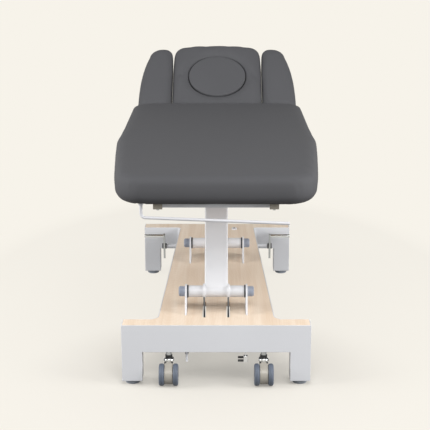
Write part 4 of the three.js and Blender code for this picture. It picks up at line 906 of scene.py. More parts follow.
def castors(context):
    """Twin-wheel castors: bright crown, cream body, grey wheels with a dished cream hub and a black cap."""
    paint = finishes(context)
    trail, half_width = 0.031, 0.0136
    for corner in CORNERS:
        low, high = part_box(f"caster_fork_{corner}")
        x = (low.x + high.x) / 2
        wheel_low, wheel_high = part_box(f"wheel_{corner}_left")
        axle = Vector((x, (wheel_low.y + wheel_high.y) / 2, (wheel_low.z + wheel_high.z) / 2))
        stem = Vector((x, axle.y + trail, 0))
        bm = bmesh.new()
        shape = link_outline((axle.y, axle.z), 0.0322, (stem.y, 0.0745), 0.010)
        prism(bm, shape, "x", x - half_width, x + half_width)
        turned(bm, [(0, 75.6), (16, 75.6), (18.4, 77.4), (19, 80), (18.6, 84), (16.4, 87.6), (12.5, 89.6), (0, 90)],
               stem, (0, 0, 1), 48, 1)
        turned(bm, [(0, 88), (12, 88), (12, 98), (0, 98)], stem, (0, 0, 1), 32, 3)
        turned(bm, [(0, 97), (10, 97), (10, 132.4), (9.4, 133), (0, 133)], stem, (0, 0, 1), 32, 2)
        turned(bm, [(0, -29.5), (3.6, -29.5), (4, -29), (4, 29), (3.6, 29.5), (0, 29.5)], axle, (1, 0, 0), 24, 2)
        for offset in (-11.6, 11.6):
            pad = Vector((x + offset * MM, stem.y - 0.021, 0.0752))
            turned(bm, [(0, -3), (2.9, -3), (3.4, -2.4), (3.4, 9), (0, 9)], pad, (0, 1, 0), 20, 3)
        finish = [paint["cream"], paint["chrome"], paint["zinc"], paint["black"]]
        body = round_edges(make_object(f"castor_body_{corner}", bm, finish), 1.2, 3)
        seat(body, f"caster_{corner}", (f"caster_fork_{corner}",))
        for hand, side in (("left", -1), ("right", 1)):
            inner = axle + Vector((side * 14.5 * MM, 0, 0))
            bm = bmesh.new()
            tyre = [(27, 0.4), (32, 0.2), (34.6, 1.2), (36.6, 3.4), (37.5, 6.2), (37.5, 11.8), (36.6, 14.6),
                    (34.6, 16.8), (32, 17.8), (27, 17.2)]
            turned(bm, tyre, inner, (side, 0, 0), 56, 0)
            hub = [(4.3, 0.6), (26.9, 0.6), (27.2, 1.2), (27.2, 16.6), (26, 17), (24.4, 16.4), (21, 13.6),
                   (11.6, 12.4), (10.6, 13.4), (10.6, 14.4), (4.3, 14.4)]
            turned(bm, hub, inner, (side, 0, 0), 56, 1)
            turned(bm, [(0, 14.5), (8.2, 14.5), (8.2, 16), (7, 17.2), (0, 17.6)], inner, (side, 0, 0), 32, 2)
            wheel = make_object(f"castor_wheel_{corner}_{hand}", bm, [paint["tyre"], paint["cream"], paint["black"]])
            seat(wheel, f"roller_{corner}_{hand}", (f"wheel_{corner}_{hand}",))


def pedals(context):
    """Coated pedal shaft with its cams, plated pedal plates with black collars, chrome foot bars."""
    paint = finishes(context)
    seat(cad_copy("pedal_shaft_coated", "pedal_shaft", [paint["steel"]], 0.6), "pedals", ("pedal_shaft",))
    plate_half, head_reach, tail_reach = 0.004, 0.045, 0.050
    for hand, side in (("left", -1), ("right", 1)):
        pivot = at(side * 228, 537, 145.3)
        head, tail = (pivot.y, pivot.z + head_reach), (pivot.y, pivot.z - tail_reach)
        bm = bmesh.new()
        for end, radius in ((head, 0.0105), (tail, 0.006)):
            plate = link_outline((pivot.y, pivot.z), 0.013, end, radius)
            prism(bm, plate, "x", pivot.x - plate_half, pivot.x + plate_half, 0)
        bar = Vector((pivot.x + side * 3 * MM, head[0], head[1]))
        turned(bm, [(0, 0), (7.5, 0), (7.5, 81.6), (6.6, 82.8), (0, 83)], bar, (side, 0, 0), 40, 1)
        turned(bm, [(8.3, -9), (11.4, -9), (12, -8), (12, 8), (11.4, 9), (8.3, 9)], pivot, (1, 0, 0), 40, 2)
        seat(round_edges(make_object(f"foot_pedal_{hand}", bm, [paint["zinc"], paint["chrome"], paint["black"]]), 0.6),
             "pedals", (f"pedal_{hand}",))


# Drive and fittings

def drive(context):
    """Actuator, control box, inlet, gas spring and release paddle."""
    paint = finishes(context)
    for node, body, finish, slot, width in (
            ("actuator_housing", "base", "black", "black_plastic", 2.0),
            ("actuator_rod", "actuator_rod", "zinc", "chrome", 0.8),
            ("control_box", "base", "black", "black_plastic", 2.5),
            ("mains_inlet", "base", "black", "black_plastic", 0.4),
            ("gas_spring_cylinder", "gas_cylinder", "black", "black_plastic", 0.6),
            ("gas_spring_rod", "gas_rod", "chrome", "chrome", 0.5),
            ("release_paddle", "paddle", "black", "black_plastic", 1.2),
            ("head_hinge_pin", "top", "zinc", "chrome", 0.6)):
        seat(cad_copy(f"{node}_finished", node, [paint[finish]], width), body, (node,))


def paper_rod(context):
    """The bent white rod that holds a paper roll."""
    bm = bmesh.new()
    swing = math.radians(-9)
    bend, level, socket_x, socket_y = 14, 596, -240, -703
    path = [(0, 645.2), (0, 628)]
    path += [(bend * (1 - math.cos(a)), level + bend * (1 - math.sin(a)))
             for a in (math.pi / 2 * i / 10 for i in range(11))]
    path += [(240, level), (474, level), (477.2, level)]
    points = [at(socket_x + u * math.cos(swing), socket_y + u * math.sin(swing), z) for u, z in path]
    swept(bm, points, 0.005, 28)
    rod = round_edges(make_object("paper_roll_rod", bm, [finishes(context)["white"]]), 0.8, 2, 60)
    seat(rod, "paper_rod", ("roll_rod",))


def guide_pin_y():
    """Place along the couch, in millimetres from the base's middle, of the caster frame's guide pin."""
    return (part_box("caster_frame")[0].y - BASE_Y) / MM + 22


def beam_catch(context):
    """Small catch under the front beam: a bright clamp on a short stem, with two black rubber fingers."""
    paint = finishes(context)
    bm = bmesh.new()
    turned(bm, [(0, 0), (2.4, 0), (2.4, 19.5), (0, 19.5)], at(98, -640, 98.2), (0, 0, 1), 24, 1)
    box(bm, at(92, -647, 79), at(105.5, -633, 100.5), 1)
    for z in (82.5, 94.5):
        finger = [(0, 0), (3.2, 0), (3.9, 0.8), (3.9, 18.6), (3.2, 19.4), (0, 19.4)]
        turned(bm, finger, at(72.8, -640, z), (1, 0, 0), 24, 0)
    turned(bm, [(4.1, 0), (6, 0), (6, 8), (4.1, 8)], at(-99, guide_pin_y(), 104), (0, 0, 1), 32, 0)
    catch = round_edges(make_object("beam_catch", bm, [paint["black"], paint["chrome"]]), 0.8)
    seat(catch, "running_gear")


# Repeated pieces: screws, staples and ribs. Places are in millimetres; rails are those of the top frame.

RAIL_X, RAIL_UNDER = 186, 625
HEAD_RAIL_X, ARM_FLANGE_X = 160, 262


def new_tree(name, inputs):
    """An empty geometry tree with named inputs; returns the tree and its input node."""
    tree = bpy.data.node_groups.new(name, "GeometryNodeTree")
    tree.interface.new_socket("Geometry", in_out="INPUT", socket_type="NodeSocketGeometry")
    for label, kind, value in inputs:
        tree.interface.new_socket(label, in_out="INPUT", socket_type=kind).default_value = value
    tree.interface.new_socket("Geometry", in_out="OUTPUT", socket_type="NodeSocketGeometry")
    return tree, add_node(tree, "NodeGroupInput")


def end_tree(tree, geometry, material):
    """Ends a tree in real geometry with its material."""
    real = add_node(tree, "GeometryNodeRealizeInstances", {"Geometry": geometry})
    painted = add_node(tree, "GeometryNodeSetMaterial", {"Geometry": real.outputs["Geometry"], "Material": material})
    add_node(tree, "NodeGroupOutput", {"Geometry": painted.outputs["Geometry"]})
    return tree


def placed_on_points(tree, points, instance):
    """Puts an instance on each point and turns its Z axis to the point's own direction."""
    facing = add_node(tree, "GeometryNodeInputNamedAttribute", {"Name": "facing"}, data_type="FLOAT_VECTOR")
    turn = add_node(tree, "FunctionNodeAlignRotationToVector", {"Vector": facing.outputs["Attribute"]}, axis="Z")
    placed = add_node(tree, "GeometryNodeInstanceOnPoints", {"Points": points, "Instance": instance,
                                                             "Rotation": turn.outputs["Rotation"]})
    return placed.outputs["Instances"]


def screw_tree(material):
    """Low-head screws with a hexagon socket, one on each point."""
    tree, given = new_tree("Low-head screws", (("Head diameter", "NodeSocketFloat", 11 * MM),
                                               ("Head height", "NodeSocketFloat", 4 * MM),
                                               ("Socket size", "NodeSocketFloat", 5.5 * MM)))
    radius = add_node(tree, "ShaderNodeMath", {0: given.outputs["Head diameter"], 1: 0.5}, operation="MULTIPLY")
    crown = add_node(tree, "ShaderNodeMath", {0: given.outputs["Head diameter"], 1: 0.41}, operation="MULTIPLY")
    head = add_node(tree, "GeometryNodeMeshCone", {"Vertices": 28, "Radius Bottom": radius.outputs[0],
                                                   "Radius Top": crown.outputs[0],
                                                   "Depth": given.outputs["Head height"]})
    reach = add_node(tree, "ShaderNodeMath", {0: given.outputs["Socket size"], 1: 0.5}, operation="MULTIPLY")
    drive_hole = add_node(tree, "GeometryNodeMeshCylinder", {"Vertices": 6, "Radius": reach.outputs[0],
                                                             "Depth": given.outputs["Head height"]})
    lift = add_node(tree, "ShaderNodeCombineXYZ", {"Z": given.outputs["Head height"]})
    raised = add_node(tree, "GeometryNodeTransform", {"Geometry": drive_hole.outputs["Mesh"],
                                                      "Translation": lift.outputs["Vector"]})
    screw = add_node(tree, "GeometryNodeMeshBoolean", {"Mesh 1": head.outputs["Mesh"],
                                                       "Mesh 2": raised.outputs["Geometry"]}, operation="DIFFERENCE")
    return end_tree(tree, placed_on_points(tree, given.outputs["Geometry"], screw.outputs["Mesh"]), material)


def staple_tree(material):
    """Staple crowns at an even pitch along an outline."""
    tree, given = new_tree("Upholstery staples", (("Pitch", "NodeSocketFloat", 28 * MM),
                                                  ("Crown", "NodeSocketFloat", 10 * MM),
                                                  ("Wire", "NodeSocketFloat", 1.1 * MM)))
    path = add_node(tree, "GeometryNodeMeshToCurve", {"Mesh": given.outputs["Geometry"]})
    even = add_node(tree, "GeometryNodeResampleCurve", {"Curve": path.outputs["Curve"],
                                                        "Length": given.outputs["Pitch"]}, mode="LENGTH")
    size = add_node(tree, "ShaderNodeCombineXYZ", {"X": given.outputs["Crown"], "Y": given.outputs["Wire"],
                                                   "Z": given.outputs["Wire"]})
    crown = add_node(tree, "GeometryNodeMeshCube", {"Size": size.outputs["Vector"]})
    along = add_node(tree, "GeometryNodeInputTangent")
    turn = add_node(tree, "FunctionNodeAlignRotationToVector", {"Vector": along.outputs["Tangent"]}, axis="X")
    placed = add_node(tree, "GeometryNodeInstanceOnPoints", {"Points": even.outputs["Curve"],
                                                             "Instance": crown.outputs["Mesh"],
                                                             "Rotation": turn.outputs["Rotation"]})
    return end_tree(tree, placed.outputs["Instances"], material)


def rib_tree(material):
    """A ring of straight grip ribs round each point's axis."""
    tree, given = new_tree("Cap ribs", (("Count", "NodeSocketInt", 26), ("Radius", "NodeSocketFloat", 16.7 * MM),
                                        ("Width", "NodeSocketFloat", 1.7 * MM),
                                        ("Length", "NodeSocketFloat", 12.5 * MM),
                                        ("Start", "NodeSocketFloat", 11.4 * MM)))
    ring = add_node(tree, "GeometryNodeMeshCircle", {"Vertices": given.outputs["Count"],
                                                     "Radius": given.outputs["Radius"]})
    size = add_node(tree, "ShaderNodeCombineXYZ", {"X": given.outputs["Width"], "Y": given.outputs["Width"],
                                                   "Z": given.outputs["Length"]})
    rib = add_node(tree, "GeometryNodeMeshCube", {"Size": size.outputs["Vector"]})
    outwards = add_node(tree, "GeometryNodeInputPosition")
    turn = add_node(tree, "FunctionNodeAlignRotationToVector", {"Vector": outwards.outputs["Position"]}, axis="X")
    ribs = add_node(tree, "GeometryNodeInstanceOnPoints", {"Points": ring.outputs["Mesh"],
                                                           "Instance": rib.outputs["Mesh"],
                                                           "Rotation": turn.outputs["Rotation"]})
    start = add_node(tree, "ShaderNodeCombineXYZ", {"Z": given.outputs["Start"]})
    moved = add_node(tree, "GeometryNodeTransform", {"Geometry": ribs.outputs["Instances"],
                                                     "Translation": start.outputs["Vector"]})
    return end_tree(tree, placed_on_points(tree, given.outputs["Geometry"], moved.outputs["Geometry"]), material)


def point_source(name, places):
    """Loose points for a tree, each with the direction that its instance faces."""
    mesh = bpy.data.meshes.new(name)
    mesh.from_pydata([place for place, _ in places], [], [])
    facing = mesh.attributes.new("facing", "FLOAT_VECTOR", "POINT")
    for i, (_, direction) in enumerate(places):
        facing.data[i].vector = direction
    obj = bpy.data.objects.new(name, mesh)
    bpy.context.scene.collection.objects.link(obj)
    return obj


def ring_source(name, points, level):
    """A closed line for a tree, from outline points in millimetres."""
    mesh = bpy.data.meshes.new(name)
    count = len(points)
    edges = [(i, (i + 1) % count) for i in range(count)]
    mesh.from_pydata([(x * MM, y * MM, level * MM) for x, y in points], edges, [])
    obj = bpy.data.objects.new(name, mesh)
    bpy.context.scene.collection.objects.link(obj)
    return obj


def grown(obj, tree, **values):
    """Runs a tree over its source with the given inputs and keeps the result as a plain mesh."""
    modifier = obj.modifiers.new("repeat", "NODES")
    modifier.node_group = tree
    for item in tree.interface.items_tree:
        if item.item_type == "SOCKET" and item.in_out == "INPUT" and item.name in values:
            modifier[item.identifier] = values[item.name]
    applied(obj)
    obj.data.shade_smooth()
    obj.data.set_sharp_from_angle(angle=math.radians(35))
    return obj


def screws(context):
    """Screws that hold the boards on their frames and the lid on the control box."""
    tree = screw_tree(finishes(context)["zinc"])
    down = Vector((0, 0, -1))
    rails = [(at(side * RAIL_X, y, 625.1), down) for side in (-1, 1) for y in (-703, -560, -400, -60, 140, 460, 660)]
    seat(grown(point_source("board_screws", rails), tree, **{"Head height": 4.5 * MM}), "top")
    box_low, box_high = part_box("control_box")
    inset = 0.012
    lid = [(Vector((x, y, box_low.z)), down) for x in (box_low.x + inset, box_high.x - inset)
           for y in (box_low.y + inset, box_high.y - inset)]
    seat(grown(point_source("lid_screws", lid), tree, **{"Head diameter": 7 * MM, "Head height": 2 * MM,
                                                         "Socket size": 3.4 * MM}), "base")
    head = [(Vector((side * HEAD_RAIL_X, y, -4.1)) * MM, down) for side in (-1, 1) for y in (90, 210, 330)]
    seat(placed_in_head(grown(point_source("head_screws", head), tree)), "head")
    for hand, side in (("left", -1), ("right", 1)):
        flange = [(Vector((side * ARM_FLANGE_X, y, 14.9)) * MM, down) for y in (84, 165, 246)]
        seat(placed_in_head(grown(point_source(f"arm_screws_{hand}", flange), tree, **{"Head height": 2.6 * MM})),
             f"arm_{hand}")


def staples(context):
    """Staples that tack each cushion's cover to the underside of its board."""
    tree = staple_tree(finishes(context)["zinc"])
    main_inset, main_level, head_inset, head_level = 47, 649.7, 46, 17.5
    obj = grown(ring_source("main_staples", outline(PLANS["main"], main_inset), main_level), tree)
    obj.data.transform(Matrix.Translation((0, BASE_Y, 0)))
    seat(obj, "top")
    for name, plan, body in (("head_staples", "head", "head"), ("arm_staples_left", "arm_left", "arm_left"),
                             ("arm_staples_right", "arm_right", "arm_right")):
        obj = grown(ring_source(name, outline(PLANS[plan], head_inset), head_level), tree, Pitch=24 * MM)
        seat(placed_in_head(obj), body)


def cap_ribs(context):
    """Grip ribs round the four pivot caps."""
    places = []
    for corner in CORNERS:
        side = -1 if "left" in corner else 1
        low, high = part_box(f"pivot_cap_{corner}")
        inner_x = high.x if side < 0 else low.x
        places.append((Vector((inner_x, (low.y + high.y) / 2, (low.z + high.z) / 2)), Vector((side, 0, 0))))
    seat(grown(point_source("cap_ribs", places), rib_tree(finishes(context)["cap"])), "base")


# Small trim

def rail_plugs(context):
    """Plastic plugs that close the open ends of the top frame's two rails; their olive beige-grey is painted shade, the
    tone of the shade under the cushion's front edge.
    """
    paint = finishes(context)
    bm = bmesh.new()
    for side in (-1, 1):
        for y, out in ((-711, -1), (750, 1)):
            ends = sorted((y + out * 1.8, y - out * 0.1))
            inner = sorted((y, y - out * 14))
            for half, reach, low, high in ((15, ends, RAIL_UNDER, 650), (12.6, inner, 627.4, 647.6)):
                box(bm, at(side * RAIL_X - half, reach[0], low), at(side * RAIL_X + half, reach[1], high))
    seat(round_edges(make_object("rail_plugs", bm, [paint["plug"]]), 0.7), "top")


def panel_button(context):
    """Small oval cover on the wood panel near its head end, with a dark plug in the middle."""
    paint = finishes(context)
    middle = Vector((75, 566, 212.9))
    half_width, half_length, plug_height, plug_reach = 12, 17, 4.2, 7
    rings = []
    for reach, level in ((1.0, 0), (1.0, 3.2), (0.9, 4.6), (0.42, 5.0), (0.4, plug_height)):
        rings.append([(middle.x + half_width * reach * math.cos(a), middle.y + half_length * reach * math.sin(a),
                       middle.z + level) for a in (2 * math.pi * i / 40 for i in range(40))])
    bm = loft(rings, caps=((middle.x, middle.y, middle.z), (middle.x, middle.y, middle.z + plug_height)))
    bm.transform(Matrix.Translation((0, BASE_Y, 0)))
    obj = make_object("panel_button", bm, [paint["white"], paint["black"]])
    for polygon in obj.data.polygons:
        if polygon.center.z > (middle.z + 4.0) * MM and (polygon.center - at(*middle)).xy.length < plug_reach * MM:
            polygon.material_index = 1
    seat(obj, "base")


# Stage

def stage(context):
    """Floor, soft lights and the camera at the photograph's viewing angle."""
    settings = context.scene.couch_stage
    reach = 60.0
    mesh = bpy.data.meshes.new("floor")
    level = -0.0004
    mesh.from_pydata([(-reach, -reach, level), (reach, -reach, level), (reach, reach, level), (-reach, reach, level)],
                     [], [(0, 1, 2, 3)])
    floor = bpy.data.objects.new("floor", mesh)
    context.scene.collection.objects.link(floor)
    mesh.materials.append(floor_paint(settings))
    surround(context, settings)
    for name, place, aim, size, power in (
            ("top", (0.2, -0.3, 3.6), (0, 0, 0.4), 2.2, settings.top),
            ("front", (0.4, -3.3, 3.5), (0, -0.2, 0.4), 2.0, settings.front),
            ("left", (-3.2, -1.2, 1.25), (0, -0.1, 0.4), 1.8, settings.left),
            ("right", (3.2, -1.7, 1.3), (0, -0.1, 0.4), 1.8, settings.right)):
        add_lamp(context, name, place, aim, size, power)
    add_camera(context, settings)
    context.scene.view_settings.view_transform = "Standard"


def direct_sight(tree):
    """Socket that is 1 for what the camera sees directly, in a mirror or through glass."""
    path = add_node(tree, "ShaderNodeLightPath")
    mirrored = add_node(tree, "ShaderNodeMath", {0: path.outputs["Is Camera Ray"], 1: path.outputs["Is Glossy Ray"]},
                        operation="ADD")
    total = add_node(tree, "ShaderNodeMath", {0: mirrored.outputs[0], 1: path.outputs["Is Transmission Ray"]},
                     operation="ADD", use_clamp=True)
    return total.outputs[0]


def surround(context, settings):
    """Soft light from all round; the camera, and mirrors and glass too, see the plain backdrop."""
    world = context.scene.world or bpy.data.worlds.new("World")
    context.scene.world = world
    world.use_nodes = True
    tree = world.node_tree
    tree.nodes.clear()
    seen = add_node(tree, "ShaderNodeBackground", {"Color": linear(settings.backdrop), "Strength": 1.0})
    soft = add_node(tree, "ShaderNodeBackground", {"Color": linear("#f4f6fa"), "Strength": settings.ambient})
    mix = add_node(tree, "ShaderNodeMixShader", {0: direct_sight(tree), 1: soft.outputs[0], 2: seen.outputs[0]})
    add_node(tree, "ShaderNodeOutputWorld", {"Surface": mix.outputs[0]})


def add_lamp(context, name, place, aim, size, power):
    """One square softbox that points at a place."""
    light = bpy.data.lights.new(name, "AREA")
    light.shape = "SQUARE"
    light.size = size
    light.energy = power
    lamp = bpy.data.objects.new(name, light)
    lamp.location = place
    lamp.rotation_euler = (Vector(aim) - Vector(place)).to_track_quat("-Z", "Y").to_euler()
    context.scene.collection.objects.link(lamp)


def add_camera(context, settings):
    """The camera, fitted to the photograph's straight edges."""
    camera = bpy.data.cameras.new("camera")
    camera.lens = settings.lens
    camera.sensor_width = 36
    camera.shift_x = settings.shift
    camera.clip_end = 200
    holder = bpy.data.objects.new("camera", camera)
    holder.location = (settings.sideways, settings.distance + BASE_Y, settings.height)
    holder.rotation_euler = (math.radians(90) - settings.pitch, 0, 0)
    context.scene.collection.objects.link(holder)
    context.scene.camera = holder


def floor_paint(settings):
    """Pale studio floor: round the couch it takes the shadow, and further out it runs evenly into the backdrop."""
    material = bpy.data.materials.new("Studio floor")
    material.use_nodes = True
    tree = material.node_tree
    tree.nodes.clear()
    matte = add_node(tree, "ShaderNodeBsdfDiffuse", {"Color": linear(settings.floor)})
    glow = add_node(tree, "ShaderNodeEmission", {"Color": linear(settings.backdrop), "Strength": 1.0})
    place = add_node(tree, "ShaderNodeTexCoord")
    centred = add_node(tree, "ShaderNodeMapping", {"Vector": place.outputs["Object"], "Scale": (1.0, 0.62, 1.0)})
    middle = add_node(tree, "ShaderNodeVectorMath", {0: centred.outputs["Vector"]}, operation="LENGTH")
    fade = add_node(tree, "ShaderNodeMapRange", {"Value": middle.outputs["Value"], "From Min": settings.fade_from,
                                                 "From Max": settings.fade_to, "To Min": settings.even, "To Max": 1.0},
                    interpolation_type="SMOOTHSTEP")
    foot = add_node(tree, "ShaderNodeMapping", {"Vector": place.outputs["Object"], "Location": (0, 0.84, 0)})
    behind = add_node(tree, "ShaderNodeVectorMath", {0: foot.outputs["Vector"]}, operation="LENGTH")
    calm = add_node(tree, "ShaderNodeMapRange", {"Value": behind.outputs["Value"], "From Min": 0.32, "From Max": 0.75,
                                                 "To Min": settings.even, "To Max": settings.calm},
                    interpolation_type="SMOOTHSTEP")
    share = add_node(tree, "ShaderNodeMath", {0: calm.outputs["Result"], 1: fade.outputs["Result"]},
                     operation="MAXIMUM")
    near = add_node(tree, "ShaderNodeMixShader", {0: share.outputs[0], 1: matte.outputs[0], 2: glow.outputs[0]})
    dim = add_node(tree, "ShaderNodeBsdfDiffuse", {"Color": linear(settings.bounce)})
    mix = add_node(tree, "ShaderNodeMixShader", {0: direct_sight(tree), 1: dim.outputs[0], 2: near.outputs[0]})
    add_node(tree, "ShaderNodeOutputMaterial", {"Surface": mix.outputs[0]})
    return material


# Settings, operators and panel

class CouchSizes(bpy.types.PropertyGroup):
    """Sizes that shape the visible pieces, in millimetres."""
    crown: bpy.props.FloatProperty(
        name="Crown", description="Rise of a cushion's top in the middle, mm", default=3.5, min=0)
    top_edge: bpy.props.FloatProperty(
        name="Upper edge", description="Radius of the long cushion's upper edge, mm", default=26.0, min=2)
    low_edge: bpy.props.FloatProperty(
        name="Lower edge", description="Height of the long cushion's lower roll, mm", default=34.0, min=2)
    draw_in: bpy.props.FloatProperty(
        name="Draw-in", description="How far the long cushion's cover pulls in at the bottom, mm", default=34.0, min=0)
    head_top_edge: bpy.props.FloatProperty(
        name="Head, upper edge", description="Radius of the upper edge in the head section, mm", default=24.0, min=2)
    head_low_edge: bpy.props.FloatProperty(
        name="Head, lower edge", description="Height of the lower roll in the head section, mm", default=20.0, min=2)
    head_draw_in: bpy.props.FloatProperty(
        name="Head, draw-in", description="How far the cover pulls in there, mm", default=18.0, min=0)
    swell: bpy.props.FloatProperty(
        name="Swell", description="How far the foam swells its cover, mm", default=7.0, min=0)
    sheet_edge: bpy.props.FloatProperty(
        name="Sheet edge", description="Bend radius of the folded sheet, mm", default=1.6, min=0)


class CouchColours(bpy.types.PropertyGroup):
    """Colours of the finishes, as sRGB hex."""
    vinyl: bpy.props.StringProperty(name="Vinyl", description="Upholstery", default="#575759")
    vinyl_dark: bpy.props.StringProperty(
        name="Vinyl, low", description="Darker patches of the upholstery", default="#525254")
    steel: bpy.props.StringProperty(name="Steel", description="Powder coat of base and frame", default="#d9dadd")
    rod_white: bpy.props.StringProperty(name="Rod", description="Powder coat of the paper-roll rod", default="#d6d6d9")
    maple: bpy.props.StringProperty(name="Maple", description="Laminate, light figure", default="#eddcc8")
    maple_dark: bpy.props.StringProperty(name="Maple, low", description="Laminate, dark figure", default="#dcc3a8")
    ply: bpy.props.StringProperty(name="Plywood", description="Boards under the cushions", default="#d3b78c")
    cap: bpy.props.StringProperty(name="Caps", description="Plastic end caps", default="#b3b8c4")
    tyre: bpy.props.StringProperty(name="Tyres", description="Tread of the castors", default="#5d6573")
    rubber: bpy.props.StringProperty(name="Feet", description="Rubber feet", default="#979da6")
    cream: bpy.props.StringProperty(name="Castor bodies", description="Nylon of the castors", default="#aca79d")
    black: bpy.props.StringProperty(name="Black parts", description="Housings and grips", default="#1f2022")


class CouchStage(bpy.types.PropertyGroup):
    """Camera, backdrop and lamps."""
    lens: bpy.props.FloatProperty(name="Lens", description="Focal length, mm", default=96.28, min=10)
    sideways: bpy.props.FloatProperty(
        name="Sideways", description="Camera right of the middle", default=0.012, unit="LENGTH")
    distance: bpy.props.FloatProperty(
        name="Distance", description="Camera from the base's middle", default=-4.263, unit="LENGTH")
    height: bpy.props.FloatProperty(name="Height", description="Camera above the floor", default=1.525, unit="LENGTH")
    pitch: bpy.props.FloatProperty(
        name="Pitch", description="Camera looks down by", default=math.radians(14.5), subtype="ANGLE")
    shift: bpy.props.FloatProperty(name="Shift", description="Sideways lens shift of the framing", default=-0.01116)
    backdrop: bpy.props.StringProperty(name="Backdrop", description="Colour behind the couch", default="#f7f3ea")
    floor: bpy.props.StringProperty(
        name="Floor", description="Colour of the floor that takes the shadow", default="#d3cfc7")
    even: bpy.props.FloatProperty(
        name="Evenness", description="Share of the near floor that shows no shading", default=0.3, min=0, max=1)
    calm: bpy.props.FloatProperty(
        name="Calm", description="The same share behind the couch's front end", default=0.87, min=0, max=1)
    bounce: bpy.props.StringProperty(
        name="Bounce", description="Colour with which the floor lights the couch", default="#6c6a67")
    fade_from: bpy.props.FloatProperty(
        name="Fade from", description="Where the floor starts to run into the backdrop", default=0.55, unit="LENGTH")
    fade_to: bpy.props.FloatProperty(
        name="Fade to", description="Where only the backdrop's colour is left", default=1.25, unit="LENGTH")
    ambient: bpy.props.FloatProperty(
        name="Ambient", description="Strength of the surrounding light", default=0.58, min=0)
    top: bpy.props.FloatProperty(
        name="Top lamp", description="Power of the overhead softbox", default=2.0, unit="POWER")
    front: bpy.props.FloatProperty(
        name="Front lamp", description="Power of the softbox in front", default=80.0, unit="POWER")
    left: bpy.props.FloatProperty(
        name="Left lamp", description="Power of the softbox on the left", default=98.0, unit="POWER")
    right: bpy.props.FloatProperty(
        name="Right lamp", description="Power of the softbox on the right", default=104.0, unit="POWER")


class COUCH_OT_stage(bpy.types.Operator):
    """Adds the floor, the lamps and the camera."""
    bl_idname = "couch.stage"
    bl_label = "Stage"

    def execute(self, context):
        stage(context)
        return {"FINISHED"}


class COUCH_OT_main_cushion(bpy.types.Operator):
    """Builds the long tapered cushion."""
    bl_idname = "couch.main_cushion"
    bl_label = "Main cushion"

    def execute(self, context):
        main_cushion(context)
        return {"FINISHED"}


class COUCH_OT_head_cushion(bpy.types.Operator):
    """Builds the head cushion with its face hole."""
    bl_idname = "couch.head_cushion"
    bl_label = "Head cushion"

    def execute(self, context):
        head_cushion(context)
        return {"FINISHED"}


class COUCH_OT_face_plug(bpy.types.Operator):
    """Builds the plug of the face hole."""
    bl_idname = "couch.face_plug"
    bl_label = "Face plug"

    def execute(self, context):
        face_plug(context)
        return {"FINISHED"}


class COUCH_OT_arm_pads(bpy.types.Operator):
    """Builds both arm pads."""
    bl_idname = "couch.arm_pads"
    bl_label = "Arm pads"

    def execute(self, context):
        arm_pads(context)
        return {"FINISHED"}


class COUCH_OT_base_frames(bpy.types.Operator):
    """Coats the end frames, spine, caster frame and pivot plates."""
    bl_idname = "couch.base_frames"
    bl_label = "Base frames"

    def execute(self, context):
        base_frames(context)
        return {"FINISHED"}


class COUCH_OT_wood_panel(bpy.types.Operator):
    """Builds the maple panel of the base."""
    bl_idname = "couch.wood_panel"
    bl_label = "Wood panel"

    def execute(self, context):
        wood_panel(context)
        return {"FINISHED"}


class COUCH_OT_feet(bpy.types.Operator):
    """Builds the rubber feet."""
    bl_idname = "couch.feet"
    bl_label = "Feet"

    def execute(self, context):
        feet(context)
        return {"FINISHED"}


class COUCH_OT_pivot_fittings(bpy.types.Operator):
    """Builds the bushes and end caps of the lower pivots."""
    bl_idname = "couch.pivot_fittings"
    bl_label = "Pivot fittings"

    def execute(self, context):
        pivot_fittings(context)
        return {"FINISHED"}


class COUCH_OT_lift_arms(bpy.types.Operator):
    """Builds both lift arms."""
    bl_idname = "couch.lift_arms"
    bl_label = "Lift arms"

    def execute(self, context):
        lift_arms(context)
        return {"FINISHED"}


class COUCH_OT_top_steel(bpy.types.Operator):
    """Coats the top frame, head frame and brackets."""
    bl_idname = "couch.top_steel"
    bl_label = "Top steel"

    def execute(self, context):
        top_steel(context)
        return {"FINISHED"}


class COUCH_OT_boards(bpy.types.Operator):
    """Finishes the plywood boards."""
    bl_idname = "couch.boards"
    bl_label = "Boards"

    def execute(self, context):
        boards(context)
        return {"FINISHED"}


class COUCH_OT_castors(bpy.types.Operator):
    """Builds the twin-wheel castors."""
    bl_idname = "couch.castors"
    bl_label = "Castors"

    def execute(self, context):
        castors(context)
        return {"FINISHED"}


class COUCH_OT_pedals(bpy.types.Operator):
    """Builds the pedal shaft and both pedals."""
    bl_idname = "couch.pedals"
    bl_label = "Pedals"

    def execute(self, context):
        pedals(context)
        return {"FINISHED"}


class COUCH_OT_drive(bpy.types.Operator):
    """Finishes actuator, control box, gas spring and paddle."""
    bl_idname = "couch.drive"
    bl_label = "Drive"

    def execute(self, context):
        drive(context)
        return {"FINISHED"}


class COUCH_OT_paper_rod(bpy.types.Operator):
    """Builds the bent rod at the foot end."""
    bl_idname = "couch.paper_rod"
    bl_label = "Paper-roll rod"

    def execute(self, context):
        paper_rod(context)
        return {"FINISHED"}


class COUCH_OT_beam_catch(bpy.types.Operator):
    """Builds the small catch under the front beam."""
    bl_idname = "couch.beam_catch"
    bl_label = "Beam catch"

    def execute(self, context):
        beam_catch(context)
        return {"FINISHED"}


class COUCH_OT_screws(bpy.types.Operator):
    """Grows the board and lid screws."""
    bl_idname = "couch.screws"
    bl_label = "Screws"

    def execute(self, context):
        screws(context)
        return {"FINISHED"}


class COUCH_OT_staples(bpy.types.Operator):
    """Grows the staples under the cushions."""
    bl_idname = "couch.staples"
    bl_label = "Staples"

    def execute(self, context):
        staples(context)
        return {"FINISHED"}


class COUCH_OT_cap_ribs(bpy.types.Operator):
    """Grows the grip ribs of the pivot caps."""
    bl_idname = "couch.cap_ribs"
    bl_label = "Cap ribs"

    def execute(self, context):
        cap_ribs(context)
        return {"FINISHED"}


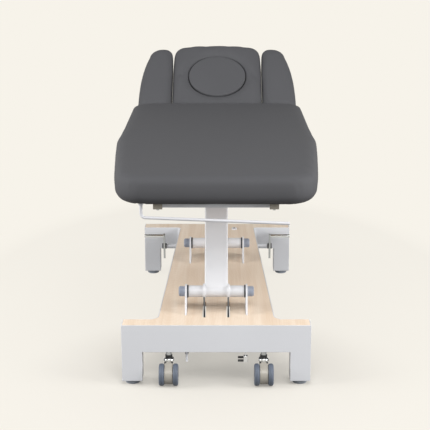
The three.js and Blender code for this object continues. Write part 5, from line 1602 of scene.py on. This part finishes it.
class COUCH_OT_rail_plugs(bpy.types.Operator):
    """Builds the end plugs of the top frame's rails."""
    bl_idname = "couch.rail_plugs"
    bl_label = "Rail plugs"

    def execute(self, context):
        rail_plugs(context)
        return {"FINISHED"}


class COUCH_OT_panel_button(bpy.types.Operator):
    """Builds the oval cover on the wood panel."""
    bl_idname = "couch.panel_button"
    bl_label = "Panel button"

    def execute(self, context):
        panel_button(context)
        return {"FINISHED"}


OPERATORS = [
    COUCH_OT_stage,
    COUCH_OT_main_cushion,
    COUCH_OT_head_cushion,
    COUCH_OT_face_plug,
    COUCH_OT_arm_pads,
    COUCH_OT_base_frames,
    COUCH_OT_wood_panel,
    COUCH_OT_feet,
    COUCH_OT_pivot_fittings,
    COUCH_OT_lift_arms,
    COUCH_OT_top_steel,
    COUCH_OT_boards,
    COUCH_OT_castors,
    COUCH_OT_pedals,
    COUCH_OT_drive,
    COUCH_OT_paper_rod,
    COUCH_OT_beam_catch,
    COUCH_OT_screws,
    COUCH_OT_staples,
    COUCH_OT_cap_ribs,
    COUCH_OT_rail_plugs,
    COUCH_OT_panel_button,
]


class VIEW3D_PT_couch(bpy.types.Panel):
    """Lists the couch's settings and building steps."""
    bl_label = "Treatment couch"
    bl_space_type = "VIEW_3D"
    bl_region_type = "UI"
    bl_category = "Couch"

    def draw(self, context):
        for group in (context.scene.couch_sizes, context.scene.couch_colours, context.scene.couch_stage):
            column = self.layout.column()
            for key in group.__annotations__:
                column.prop(group, key)
        for made in OPERATORS:
            self.layout.operator(made.bl_idname)


CLASSES = [CouchSizes, CouchColours, CouchStage, *OPERATORS, VIEW3D_PT_couch]


def register():
    """Adds the settings, the building steps and the panel."""
    for cls in CLASSES:
        bpy.utils.register_class(cls)
    bpy.types.Scene.couch_sizes = bpy.props.PointerProperty(type=CouchSizes)
    bpy.types.Scene.couch_colours = bpy.props.PointerProperty(type=CouchColours)
    bpy.types.Scene.couch_stage = bpy.props.PointerProperty(type=CouchStage)


def unregister():
    """Takes out what register added."""
    for key in ("couch_sizes", "couch_colours", "couch_stage"):
        delattr(bpy.types.Scene, key)
    for cls in reversed(CLASSES):
        bpy.utils.unregister_class(cls)


def main():
    """Builds every piece in order."""
    register()
    for made in OPERATORS:
        getattr(bpy.ops.couch, made.bl_idname.split(".")[1])()
    bpy.context.view_layer.update()


if __name__ == "__main__":
    main()
